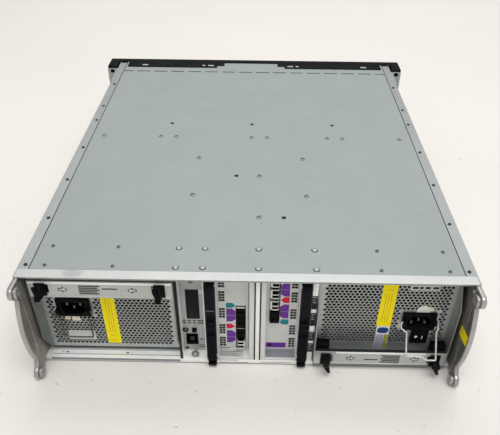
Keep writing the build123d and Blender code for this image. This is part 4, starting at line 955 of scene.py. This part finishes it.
PIN_WIDTH, PIN_THICKNESS, PIN_LENGTH = 4.0, 2.0, 12.0
PIN_PLATING = 0.06
PIN_EDGE = 0.35
PIN_ROOT = ENTRY_FRONT + 15.0
PINS = ((ENTRY_X - 7.0, ENTRY_Z + 3.0), (ENTRY_X + 7.0, ENTRY_Z + 3.0), (ENTRY_X, ENTRY_Z - 1.0))
ROCKER_PIVOT = (SWITCH_X, ENTRY_FRONT + 1.5, (SWITCH_LOW + SWITCH_HIGH) / 2)
ROCKER_TILT = 8.0
ROCKER_SLOPE = math.atan(2.0 / 12.4)
ROCKER_RISE = 1.5
MARK_PLACE = 3.2
MARK_PROUD = 0.1
MARK_BAR = (0.35, 2.4)
MARK_RING = (1.1, 1.6)
BAIL_RADIUS = 0.95
BAIL_HALF = 19.2
BAIL_LENGTH = 39.0
BAIL_PIN_REACH = 4.7
BAIL_BEND = 1.2
BAIL_OPEN_LEAN = 145.0
BAIL_OPEN_JOG = 4.0
BAIL_JOG_ENDS = (9.0, 15.0)
BAIL_WAIST = 15.4
BAIL_SWAY = -2.0
BAIL_SHOULDER = (6.0, 10.0)
BAIL_PIVOT = Vector((ENTRY_X, ENTRY_FRONT - 2.5, ENTRY_Z - 2.0))


def inlet_pins(name, place):
    """Plated skins over the inlet's three blades."""
    bm = bmesh.new()
    for x, z in PINS:
        half_x, half_z = PIN_THICKNESS / 2 + PIN_PLATING, PIN_WIDTH / 2 + PIN_PLATING
        low = (x - half_x, PIN_ROOT - PIN_LENGTH - PIN_PLATING, z - half_z)
        add_box(bm, low, (x + half_x, PIN_ROOT, z + half_z), bevel=PIN_EDGE)
    piece(f"{name}_pins", bm, wire_dull_and_shaded, name, place)


def rocker_marks(name, place):
    """Raised white bar and ring on the two halves of the switch rocker."""
    tilt = Matrix.Translation(ROCKER_PIVOT) @ Matrix.Rotation(math.radians(ROCKER_TILT), 4, "Z")
    bm = bmesh.new()
    for side in (-1, 1):
        rise = -ROCKER_RISE - MARK_PLACE * math.tan(ROCKER_SLOPE)
        face = tilt @ Matrix.Translation((side * MARK_PLACE, rise, 0))
        face = face @ Matrix.Rotation(-side * ROCKER_SLOPE, 4, "Z")
        before = set(bm.verts)
        if side < 0:
            half_x, half_z = MARK_BAR
            add_box(bm, (-half_x, -MARK_PROUD, -half_z), (half_x, MARK_PROUD, half_z))
        else:
            bore, rim = MARK_RING
            ring = ((bore, -MARK_PROUD), (rim, -MARK_PROUD), (rim, MARK_PROUD), (bore, MARK_PROUD))
            add_lathe(bm, ring, (0, 0, 0), axis="Y")
        bmesh.ops.transform(bm, matrix=face, verts=[v for v in bm.verts if v not in before])
    piece(f"{name}_rocker_marks", bm, label["white"], f"{name}_rocker", place)


def bail(name, place, lean, jog, material):
    """Plug wire: a loop on two pins, leaning out by an angle, its far end drawn back on one side by a jog."""
    along = Vector((0, -math.sin(math.radians(lean)), -math.cos(math.radians(lean))))
    reach = BAIL_LENGTH - jog
    root = [(BAIL_HALF - BAIL_PIN_REACH, 0), (BAIL_HALF, 0), (BAIL_HALF, BAIL_SHOULDER[0])]
    sway = BAIL_SWAY if jog else 0.0
    left, right = sway - BAIL_WAIST, sway + BAIL_WAIST
    corners = [(-u, v) for u, v in root] + [(left, BAIL_SHOULDER[1]), (left, BAIL_LENGTH)]
    if jog:
        corners += [(left + BAIL_JOG_ENDS[0], BAIL_LENGTH), (left + BAIL_JOG_ENDS[1], reach)]
    corners += [(right, reach), (right, BAIL_SHOULDER[1])] + root[::-1]
    path = [BAIL_PIVOT + Vector((u, 0, 0)) + v * along for u, v in corners]
    bm = bmesh.new()
    add_tube(bm, path, BAIL_RADIUS, BAIL_BEND)
    node = f"{name}_bail"
    piece(f"{node}_wire", bm, material, node, place, replaces=(node,))


# Power supply modules: labels, each given by its corners from the module's middle

LEFT_YELLOW = ((-8.9, -49.7), (5.7, 50.0))
LEFT_PLATE = ((-50.2, -45.0), (-21.2, -30.6))
LEFT_STICKERS = (((-50.0, -14.0), (-44.5, -6.4)), ((-42.5, -15.4), (-34.0, -6.4)))
RIGHT_YELLOW = ((-9.6, -50.0), (5.6, 15.4))
RIGHT_STRIP = ((-9.4, 15.6), (4.6, 50.2))
RIGHT_OVAL = ((-8.6, 17.6), (3.6, 26.6))
RIGHT_BLOCKS = (((-4.6, 28.5), (4.2, 49.6)), ((-9.0, 28.5), (-5.0, 49.6)))
RIGHT_PLATE = ((-51.2, -44.0), (-21.4, -37.4))
RIGHT_PRINT_X = ((-50.0, -44.0), (-41.6, -36.4), (-34.6, -30.8), (-29.4, -23.6))
RIGHT_PRINT_Z = (-42.4, -39.2)
RIGHT_DISC = ((-40.6, -8.4), 7.2)
RIGHT_SMALL_DISC = ((-47.6, -10.6), 3.4)
RIGHT_SQUARE = ((-23.6, 10.6), (-17.2, 17.6))
YELLOW_LINES = (0.3, 0.48, 0.66)
YELLOW_LINE_WIDTH = 0.7
YELLOW_LINE_ENDS = (18, 6)
YELLOW_BARS = (4, 12)
YELLOW_BAR_INSET = 0.25
YELLOW_BAR_HEIGHT = 0.8


def yellow_label(name, place, low, high):
    """Blank yellow label with a faint printed frame."""
    (x0, z0), (x1, z1) = low, high
    width = x1 - x0
    rows = [(low, high, FACE_SETBACK, 0, 0.8)]
    ink = (ON_LABEL, 1, 0.2, INK_THICKNESS)
    for share in YELLOW_LINES:
        x = x0 + width * share
        rows.append(((x, z0 + YELLOW_LINE_ENDS[0]), (x + YELLOW_LINE_WIDTH, z1 - YELLOW_LINE_ENDS[1]), *ink))
    for rise in YELLOW_BARS:
        inset = YELLOW_BAR_INSET * width
        rows.append(((x0 + inset, z0 + rise), (x1 - inset, z0 + rise + YELLOW_BAR_HEIGHT), *ink))
    materials = [label["yellow"], label["ochre"]]
    stickers(f"{name}_yellow_label", materials, name, place, rows)


def left_panel_labels(name, place):
    """Labels on the left panel: a yellow strip, a pale blank plate and two small stickers under the inlet."""
    yellow_label(name, place, *LEFT_YELLOW)
    rows = [(*LEFT_PLATE, FACE_SETBACK, 0)] + [(*corners, FACE_SETBACK, 1) for corners in LEFT_STICKERS]
    materials = [label["pale"], label["cream"]]
    stickers(f"{name}_blank_labels", materials, name, place, rows)


def right_panel_labels(name, place):
    """Labels on the right panel: a yellow strip, a white one with colour blocks, and small blank ones."""
    yellow_label(name, place, *RIGHT_YELLOW)
    rows = [(*RIGHT_STRIP, FACE_SETBACK, 0), (*RIGHT_OVAL, ON_LABEL, 1, 4.0, INK_THICKNESS)]
    rows += [(*corners, ON_LABEL, 2 + i, 0.3, INK_THICKNESS) for i, corners in enumerate(RIGHT_BLOCKS)]
    materials = [label["white"], label["blue"], label["lilac"], label["lime"]]
    stickers(f"{name}_colour_label", materials, name, place, rows)
    low, high = RIGHT_PRINT_Z
    rows = [(*RIGHT_PLATE, FACE_SETBACK, 0)]
    rows += [((x0, low), (x1, high), ON_LABEL, 3, 0.5, INK_THICKNESS) for x0, x1 in RIGHT_PRINT_X]
    rows.append((*RIGHT_SQUARE, FACE_SETBACK, 2))
    discs = [(*RIGHT_DISC, FACE_SETBACK, 1), (*RIGHT_SMALL_DISC, ON_LABEL, 2, PRINT_THICKNESS)]
    materials = [label["pale"], label["white"], label["cream"], dark_ink_and_shade]
    stickers(f"{name}_blank_labels", materials, name, place, rows, discs)


# The left module's bail takes the darker wire, painted shade; the right one takes the bright wire.
for name, turned_over, bail_wire in (("psu_left", False, wire_dull_and_shaded), ("psu_right", True, wire_metal)):
    place = module_frame(middle(f"{name}_housing")[0], turned_over)
    perforated_panel(name, place)
    bar_marks(name, place)
    bar_edges(name, place, turned_over)
    inlet_pins(name, place)
    rocker_marks(name, place)
    for node, material, edge in (
        ("housing", housing_metal, 0.25),
        ("pull_bar", bar_metal, 0.3),
        ("tab_outer", black_plastic, 0.5),
        ("tab_inner", black_plastic, 0.5),
        ("power_entry", black_plastic, 0.3),
        ("rocker", black_plastic, 0.3),
        ("fan_frame", fan_plastic, 0.4),
        ("fan_rotor", fan_plastic, 0.3),
    ):
        soften(f"{name}_{node}", material, edge)
    lean, jog = (BAIL_OPEN_LEAN, BAIL_OPEN_JOG) if turned_over else (0.0, 0.0)
    bail(name, place, lean, jog, bail_wire)
    (right_panel_labels if turned_over else left_panel_labels)(name, place)
    paint(f"{name}_power_board", board_green)


# Link modules: printed tabs, vents, cage frames, plugs and lever feet, placed across and up the rear

PURPLE, RED, TEAL = 0, 1, 2
LEVER_DEPTH = span("lcc_left_lever_upper")[0].y - rear_y
TRAY_FLOOR = span("lcc_left_tray")[0].z + 3.0
TAB_CUT = (3.6, 4.0, 3.0)
TAB_NOTCH = 3.4
LEFT_TABS = (
    (-21.6, -11.9, 73.8, 81.0, TEAL), (-21.4, -11.9, 62.9, 72.6, PURPLE), (-21.4, -11.9, 53.4, 62.5, PURPLE),
    (-21.6, -12.2, 42.6, 49.6, RED), (-21.3, -12.0, 29.6, 39.6, PURPLE), (-21.3, -12.2, 20.4, 29.2, PURPLE),
)
RIGHT_TABS = (
    (34.6, 43.6, 101.6, 110.4, PURPLE), (34.7, 43.7, 91.6, 101.2, PURPLE), (34.9, 43.9, 82.2, 90.6, RED),
    (34.5, 43.8, 69.6, 80.0, PURPLE), (34.5, 43.7, 59.6, 69.2, PURPLE), (34.5, 44.0, 50.2, 57.8, TEAL),
)
VENT_HALF = (1.3, 1.5)
VENT_PITCH = 3.8
VENT_END = 14.4
VENT_GROUPS = (-1, -0.55, 0, 0.55, 1)
VENT_ROWS = (-1.5, -0.5, 0.5, 1.5)
VENT_OFFSET = 19.6
CAGE_HEIGHT = 16.2
CAGE_HALF = 5.0
FRAME_RISE = 0.4
FRAME_UPRIGHT = 2.0
FRAME_ARMS = (0.6, 7.2, 12.4)
FRAME_ARM_RADIUS = 0.75
FRAME_ARM_BEND = 0.8
FRAME_ARM_PATH = ((4.2, 0.6, 0.0), (0.0, -0.4, 0.5), (-3.6, 0.4, 0.0))
FRAME_ARM_ROOT = -3.8
FRAME_PROUD = 3.4
FRAME_SINK = 3
LEFT_PLUGS = ((1, 1.0, 1), (2, 0, 1), (3, 2.6, 2))
LEFT_PLUG_INSET = 0.8
LEFT_PLUG_PROUD = 0.6
RIGHT_PLUG_RISE = (0.2, 0.6)
RIGHT_PLUG_PROUD = 3.4
PLUG_SINK = 1.6
PLUG_EDGE = 0.6
CATCH_HALF = 3.4
CATCH_RISE = (3, 6)
CATCH_DEPTH = (1.0, 0.2)
CATCH_EDGE = 0.5
JOINT_HALF = 4.4
JOINT_INSET = 0.2
FOOT_LOW = 4.2
FOOT_INSET = 0.2
FOOT_DEPTH = 5.9
FOOT_LAP = 0.1


def tabs(name, blocks, cage_side):
    """Stack of printed colour tabs beside the cages; the purple ones are pairs with their outer corners cut."""
    bm = bmesh.new()
    upper = False
    for x0, x1, z0, z1, material in blocks:
        tail, nose = (x0, x1) if cage_side > 0 else (x1, x0)
        cut = nose - TAB_CUT[material] * cage_side
        if material == PURPLE:
            upper = not upper
            far, near = (z0, z1) if upper else (z1, z0)
            notch = near + (far - near) * TAB_NOTCH / (z1 - z0)
            outline = [(tail, far), (nose, far), (nose, notch), (cut, near), (tail, near)]
        else:
            outline = [(tail, z0), (cut, z0), (nose, (z0 + z1) / 2), (cut, z1), (tail, z1)]
        add_prism(bm, outline, ON_LABEL, FACE_SETBACK, material=material)
    materials = [label["purple"], label["red"], label["teal"]]
    piece(f"{name}_tabs", bm, materials, name, REAR)


def vent_shades(name, x):
    """Painted shade on two columns of square vents in five groups: a black film over each hole, out to its rim.
    """
    low, high = span(f"{name}_tray")
    centre, outer = (low.z + high.z) / 2, (high.z - low.z) / 2 - VENT_END
    half_x, half_z = VENT_HALF
    places = [
        (x + side * VENT_PITCH / 2, centre + share * outer + row * VENT_PITCH)
        for share in VENT_GROUPS for row in VENT_ROWS for side in (-1, 1)
    ]
    ink = (FACE_SETBACK, 0, 0.3, INK_THICKNESS)
    rows = [((u - half_x, z - half_z), (u + half_x, z + half_z), *ink) for u, z in places]
    stickers(f"{name}_vents", shade_and_seam_black, name, REAR, rows)


def cage_frames(name, x, mouths, turned_over):
    """Plated frame in the mouth of each open cage: an upright at one side and three arms across."""
    side = -1 if turned_over else 1
    left, right = sorted((x + side * CAGE_HALF, x + side * (CAGE_HALF - FRAME_UPRIGHT)))
    proud, back = FACE_SETBACK - FRAME_PROUD, FACE_SETBACK + FRAME_SINK
    bm = bmesh.new()
    for low in mouths:
        heights = [CAGE_HEIGHT - h for h in FRAME_ARMS] if turned_over else FRAME_ARMS
        add_box(bm, (left, proud, low + min(heights)), (right, back, low + max(heights)), bevel=0.4)
        for height in heights:
            z = low + height
            path = [(x + side * u, proud + out, z + up) for u, out, up in FRAME_ARM_PATH]
            path.append((x + side * FRAME_ARM_ROOT, back, z))
            add_tube(bm, path, FRAME_ARM_RADIUS, FRAME_ARM_BEND, sides=8, steps=3)
    piece(f"{name}_cage_frames", bm, wire_metal, name, REAR)


def plug_faces(name, x, faces):
    """Black plug ends that fill the cages in use, some with a pale joint line on top."""
    bm = bmesh.new()
    for low, high, proud, line, line_material in faces:
        front = FACE_SETBACK - proud
        add_box(bm, (x - CAGE_HALF, front, low), (x + CAGE_HALF, FACE_SETBACK + PLUG_SINK, high), PLUG_EDGE)
        catch_low = (x - CATCH_HALF, front - CATCH_DEPTH[0], low + CATCH_RISE[0])
        add_box(bm, catch_low, (x + CATCH_HALF, front + CATCH_DEPTH[1], low + CATCH_RISE[1]), CATCH_EDGE)
        if line:
            corners = (x - JOINT_HALF, high - line), (x + JOINT_HALF, high - JOINT_INSET)
            sticker(bm, *corners, front, line_material, 0.2, PRINT_THICKNESS)
    materials = [black_plastic, label["tan"], label["pale"]]
    piece(f"{name}_plug_faces", bm, materials, name, REAR)


def lever_foot(name):
    """Fixed foot block under the lower lever, in front of the sill."""
    low, high = span(f"{name}_lever_lower")
    bm = bmesh.new()
    foot_high = (high.x - FOOT_INSET, LEVER_DEPTH + FOOT_DEPTH, low.z + FOOT_LAP)
    add_box(bm, (low.x + FOOT_INSET, LEVER_DEPTH, FOOT_LOW), foot_high, bevel=0.5)
    piece(f"{name}_lever_foot", bm, lever_plastic, name, REAR)


for name in ("lcc_left", "lcc_right"):
    for node, material, edge in (
        ("tray", face_metal, 0.2),
        ("ports", black_plastic, 0.2),
        ("lever_upper", lever_plastic, 0.7),
        ("lever_lower", lever_plastic, 0.7),
    ):
        soften(f"{name}_{node}", material, edge)
    paint(f"{name}_board", board_green)
    lever_foot(name)

left_cage_x, right_cage_x = (middle(f"{name}_ports")[0] for name in ("lcc_left", "lcc_right"))
cage_low = span("lcc_left_ports")[0].z
tabs("lcc_left", LEFT_TABS, 1)
cage_frames("lcc_left", left_cage_x, [cage_low + FRAME_RISE], False)
faces = []
for k, *line in LEFT_PLUGS:
    low, high = (cage_low + (k + end) * CAGE_HEIGHT for end in (0, 1))
    faces.append((low + LEFT_PLUG_INSET, high - LEFT_PLUG_INSET, LEFT_PLUG_PROUD, *line))
plug_faces("lcc_left", left_cage_x, faces)
vent_shades("lcc_left", left_cage_x - VENT_OFFSET)
cage_low, cage_high = (corner.z for corner in span("lcc_right_ports"))
tabs("lcc_right", RIGHT_TABS, -1)
open_cages = [cage_high - k * CAGE_HEIGHT + FRAME_RISE for k in (1, 2, 3)]
cage_frames("lcc_right", right_cage_x, open_cages, True)
low, high = (cage_low + rise for rise in (RIGHT_PLUG_RISE[0], RIGHT_PLUG_RISE[1] + CAGE_HEIGHT))
plug_faces("lcc_right", right_cage_x, [(low, high, RIGHT_PLUG_PROUD, 0, 1)])
vent_shades("lcc_right", right_cage_x + VENT_OFFSET)


# Link modules: painted shade lines, tag, a floor label and a patch of painted shade on a tray floor

FLOOR_SHADE_LINE = ((-32.0, TRAY_FLOOR + 0.3), (-18.0, TRAY_FLOOR + 1.4))
RIM_SHADE_X = (1.4, 2.1)
RIM_SHADE_ENDS = (1.0, 2.0)
LEVER_LINE_Z = (88.0, 88.6)
LEVER_LINE_INSET = 0.6
TAG_BACK = ((20.4, 12.9), (43.0, 21.9))
TAG_FRONT = ((20.9, 13.7), (42.5, 21.4))
TAG_DOT = ((25.2, 17.8), 1.9)
PAD_DEPTH = 9.2
RIGHT_FLOOR_SHADE = (20.6, 52.4, 0.3, 0.4)
LEFT_PAD = (-30.4, -4.0, 1.0, 0.15)
PAD_LINE_LEFT = -29
PAD_LINE_ENDS = (-8, -11, -8)
PAD_LINE_DEPTH = 10.6
PAD_LINE_PITCH = 2.6
PAD_LINE_WIDTH = 0.9

rim_low, rim_high = TRAY_FLOOR + RIM_SHADE_ENDS[0], span("lcc_left_tray")[1].z - RIM_SHADE_ENDS[1]
# Painted shade: a dark line along the foot of the left module's face and a grey one down its right rim.
stickers("lcc_left_face_shade_lines", [dark_ink_and_shade, grey_ink_and_shade], "lcc_left", REAR, [
    (*FLOOR_SHADE_LINE, FACE_SETBACK, 0, 0.2, PRINT_THICKNESS),
    ((RIM_SHADE_X[0], rim_low), (RIM_SHADE_X[1], rim_high), FACE_SETBACK, 1, 0.2, PRINT_THICKNESS),
])
lever_low, lever_high = span("lcc_left_lever_upper")
line_low = (lever_low.x + LEVER_LINE_INSET, LEVER_LINE_Z[0])
line_high = (lever_high.x - LEVER_LINE_INSET, LEVER_LINE_Z[1])
stickers("lcc_left_lever_line", label["slate"], "lcc_left_lever_upper", REAR,
         [(line_low, line_high, LEVER_DEPTH, 0, 0.2, PRINT_THICKNESS)])
materials = [label["purple"], label["pink"], label["black"]]
stickers("lcc_right_purple_tag", materials, "lcc_right", REAR,
         [(*TAG_BACK, FACE_SETBACK, 1, 1.2), (*TAG_FRONT, ON_LABEL, 0, 1.0, PRINT_THICKNESS)],
         [(*TAG_DOT, ON_LABEL - PRINT_THICKNESS, 2, PRINT_THICKNESS)])


def floor_pad(bm, x0, x1, gap, height):
    add_box(bm, (x0, PAD_DEPTH, TRAY_FLOOR), (x1, FACE_SETBACK - gap, TRAY_FLOOR + height))


# Slate painted shade on the right module's tray floor, in front of its face.
bm = bmesh.new()
floor_pad(bm, *RIGHT_FLOOR_SHADE)
piece("lcc_right_floor_shade", bm, label["slate"], "lcc_right", REAR)
bm = bmesh.new()
floor_pad(bm, *LEFT_PAD)
pad_top = TRAY_FLOOR + LEFT_PAD[3]
for i, right in enumerate(PAD_LINE_ENDS):
    depth = PAD_LINE_DEPTH + PAD_LINE_PITCH * i
    high = (right, depth + PAD_LINE_WIDTH, pad_top + PRINT_THICKNESS)
    add_box(bm, (PAD_LINE_LEFT, depth, pad_top), high, material=1)
piece("lcc_left_floor_label", bm, [label["grey"], grey_ink_and_shade], "lcc_left", REAR)


# Right post: four black plates with pale greeked bars

POST_PLATES = ((86.8, 105.4), (62.6, 81.6), (39.8, 53.6), (22.0, 35.6))
POST_PLATE_INSET = 0.2
POST_BARS = ((2.6, 1.4), (6.0, 2.4), (9.4, 1.4))
POST_BAR_LEFT = 1.0
POST_BAR_HEIGHT = 0.9
post_low, post_high = span("bay_post_right")
post_depth = post_low.y - rear_y
rows = []
for z0, z1 in POST_PLATES:
    low, high = (post_low.x + POST_PLATE_INSET, z0), (post_high.x - POST_PLATE_INSET, z1)
    rows.append((low, high, post_depth, 0, 0.4))
    for drop, inset in POST_BARS:
        z = z1 - drop
        low, high = (post_low.x + POST_BAR_LEFT, z), (post_high.x - inset, z + POST_BAR_HEIGHT)
        rows.append((low, high, post_depth - LABEL_THICKNESS, 1, 0.2, GREEK_THICKNESS))
stickers("bay_post_plates", [label["black"], label["grey"]], "chassis", REAR, rows)


# Shelf number panel: pale strip beside the display, status ring, greeked print and a captive screw

ID_PALE_STRIP = ((-49.0, 93.0), (-45.6, 98.9))
ID_WORDS_X = ((-67.6, -64.6), (-62.5, -59.2), (-57.1, -54.1), (-52.3, -46.0))
ID_WORDS_Z = (52.6, 49.2)
ID_WORD_HEIGHT = 1.8
ID_BARS = (
    ((-51.2, 24.0), (-47.0, 25.6)), ((-58.8, 108.2), (-54.0, 110.0)),
    ((-52.0, 12.2), (-45.8, 13.2)), ((-52.0, 14.6), (-45.8, 15.6)),
)
ID_RING = (-65.5, 39.4)
ID_RING_PROFILE = ((2.3, -0.1), (2.5, -0.9), (3.2, -0.9), (3.4, -0.1))
ID_RING_DISC = 1.5
ID_SMALL_RING = (-65.4, 10.4)
ID_SMALL_RING_PROFILE = ((1.5, -0.1), (1.6, -0.4), (2.0, -0.4), (2.1, -0.1))
JACK_BLOCK = ((-2.4, 1.5, -3.4), (2.4, 2.3, 2.6))
KNOB = (-55.6, 12.2)
KNOB_PROFILE = (
    (1.4, 0), (1.4, -8.6), (3.7, -8.8), (4.1, -9.2), (4.1, -10.4), (3.8, -10.8), (2.6, -10.8), (2.4, -10.4),
    (0, -10.4),
)
KNOB_DISC = 2.2

soften("id_display", display_glass, 0.25)
rows = [(*ID_PALE_STRIP, FACE_SETBACK, 0)]
words = [((x0, z), (x1, z + ID_WORD_HEIGHT)) for x0, x1 in ID_WORDS_X for z in ID_WORDS_Z]
rows += [(*corners, FACE_SETBACK, 1, 0.3, PRINT_THICKNESS) for corners in (*words, *ID_BARS)]
stickers("id_print", [label["pale"], dark_ink_and_shade], "chassis", REAR, rows)


def on_face(x, z):
    return (x, FACE_SETBACK, z)


bm = bmesh.new()
add_lathe(bm, ID_RING_PROFILE, on_face(*ID_RING), axis="Y")
add_lathe(bm, ID_SMALL_RING_PROFILE, on_face(*ID_SMALL_RING), axis="Y", material=1)
disc(bm, ID_RING, ID_RING_DISC, FACE_SETBACK, 1)
jack_x, _, jack_z = middle("id_jack")
jack_mouth = Vector((jack_x, span("id_jack")[0].y - rear_y, jack_z))
add_box(bm, *(jack_mouth + Vector(corner) for corner in JACK_BLOCK))
piece("id_rings", bm, [dark_ink_and_shade, grey_ink_and_shade], "chassis", REAR)
bm = bmesh.new()
add_lathe(bm, KNOB_PROFILE, on_face(*KNOB), axis="Y", segments=28, second_material_from=2)
disc(bm, KNOB, KNOB_DISC, FACE_SETBACK + KNOB_PROFILE[-1][1])
piece("id_captive_screw", bm, [number_metal_shaded, screw_grey], "chassis", REAR)


# Right wing: blank yellow label and a rivet on the inner cheek

WING_LABEL = ((3.0, 60.2), (3.0, 73.6), (-15.6, 75.4), (-16.0, 62.6))
WING_RIVET = (1.3, 122.0)
WING_RIVET_PROFILE = ((2.2, 0), (2.0, -0.6), (1.2, -1.1), (0, -1.2))
cheek_x = half_width - SHEET - WING_TONGUE_THICKNESS
bm = bmesh.new()
add_prism(bm, WING_LABEL, cheek_x - LABEL_THICKNESS, cheek_x, axis="X")
piece("wing_yellow_label", bm, label["yellow"], "chassis", REAR)
bm = bmesh.new()
add_lathe(bm, WING_RIVET_PROFILE, (cheek_x, *WING_RIVET), axis="X")
piece("wing_rivet", bm, rivet_bright, "chassis", REAR)


# Camera, light and stage; distances here are metres

FLOOR_HALF = 6.0
FLOOR_DROP = 0.0004
FLOOR_GLOW = (1.4, 4.2)
FLOOR_GLOW_STRENGTH = 0.56
SKY_COLOUR = (1.0, 0.985, 0.965, 1)
SKY_LIT, SKY_SEEN = 0.36, 0.84
LIGHTS = (
    ("key_rear", (0.24, -1.27, 3.5), (0, -0.15, 0.05), (2.9, 1.9), 88),
    ("fill_front", (0.1, -2.4, 0.9), (0, 0, 0.06), (2.6, 1.6), 5),
    ("fill_above", (0.2, 1.2, 2.0), (0, 0.4, 0.1), (2.4, 1.6), 22),
)


def photo_camera():
    """Camera at the photograph's viewpoint, with its principal point set by the lens shift."""
    yaw = Matrix.Rotation(CAMERA_YAW, 3, "Z")
    pitch = Matrix.Rotation(CAMERA_PITCH, 3, "X")
    right, forward, up = (yaw @ pitch @ Vector(v) for v in ((1, 0, 0), (0, 1, 0), (0, 0, 1)))
    c, s = math.cos(CAMERA_ROLL), math.sin(CAMERA_ROLL)
    rolled_right = c * right + s * up
    rolled_up = c * up - s * right
    data = bpy.data.cameras.new("photo_camera")
    data.sensor_width = SENSOR_WIDTH
    data.lens = FOCAL_PIXELS / PHOTO_WIDTH * SENSOR_WIDTH
    data.shift_x = (PHOTO_WIDTH / 2 - PRINCIPAL_PIXEL[0]) / PHOTO_WIDTH
    data.shift_y = (PRINCIPAL_PIXEL[1] - PHOTO_HEIGHT / 2) / PHOTO_WIDTH
    data.clip_start = 0.02
    data.clip_end = 50
    camera = bpy.data.objects.new("photo_camera", data)
    turn = Matrix((rolled_right, rolled_up, -forward)).transposed().to_4x4()
    camera.matrix_world = Matrix.Translation(Vector(CAMERA_PLACE) * MM) @ turn
    bpy.context.scene.collection.objects.link(camera)
    bpy.context.scene.camera = camera


def area_light(name, place, target, size, watts):
    """Rectangular light turned towards a target."""
    data = bpy.data.lights.new(name, "AREA")
    data.shape = "RECTANGLE"
    data.size, data.size_y = size
    data.energy = watts
    light = bpy.data.objects.new(name, data)
    light.location = place
    light.rotation_euler = (Vector(target) - Vector(place)).to_track_quat("-Z", "Y").to_euler()
    bpy.context.scene.collection.objects.link(light)


def stage():
    """Plain pale floor that glows up into the backdrop far off, soft lights and a pale sky."""
    bm = bmesh.new()
    bmesh.ops.create_grid(bm, x_segments=1, y_segments=1, size=FLOOR_HALF)
    mesh = bpy.data.meshes.new("floor")
    bm.to_mesh(mesh)
    bm.free()
    surface = Surface("floor_pale", (231, 227, 222), 0.7)
    surface.mottle(420, 0.02).smudges(7, (140, 135, 128), 0.675, 0.04, 0.55)
    surface.glow_far_off(*FLOOR_GLOW, SKY_COLOUR, FLOOR_GLOW_STRENGTH)
    mesh.materials.append(surface.material)
    floor = bpy.data.objects.new("floor", mesh)
    floor.location.z = shell_low.z * MM - FLOOR_DROP
    bpy.context.scene.collection.objects.link(floor)
    world = bpy.data.worlds.new("pale_room")
    world.use_nodes = True
    tree = world.node_tree
    lit = tree.nodes["Background"]
    seen = tree.nodes.new("ShaderNodeBackground")
    for background, strength in ((lit, SKY_LIT), (seen, SKY_SEEN)):
        background.inputs["Color"].default_value = SKY_COLOUR
        background.inputs["Strength"].default_value = strength
    mix = tree.nodes.new("ShaderNodeMixShader")
    path = tree.nodes.new("ShaderNodeLightPath")
    tree.links.new(path.outputs["Is Camera Ray"], mix.inputs["Fac"])
    tree.links.new(lit.outputs["Background"], mix.inputs[1])
    tree.links.new(seen.outputs["Background"], mix.inputs[2])
    tree.links.new(mix.outputs["Shader"], tree.nodes["World Output"].inputs["Surface"])
    bpy.context.scene.world = world
    for light in LIGHTS:
        area_light(*light)
    bpy.context.scene.view_settings.view_transform = "Standard"


photo_camera()
stage()
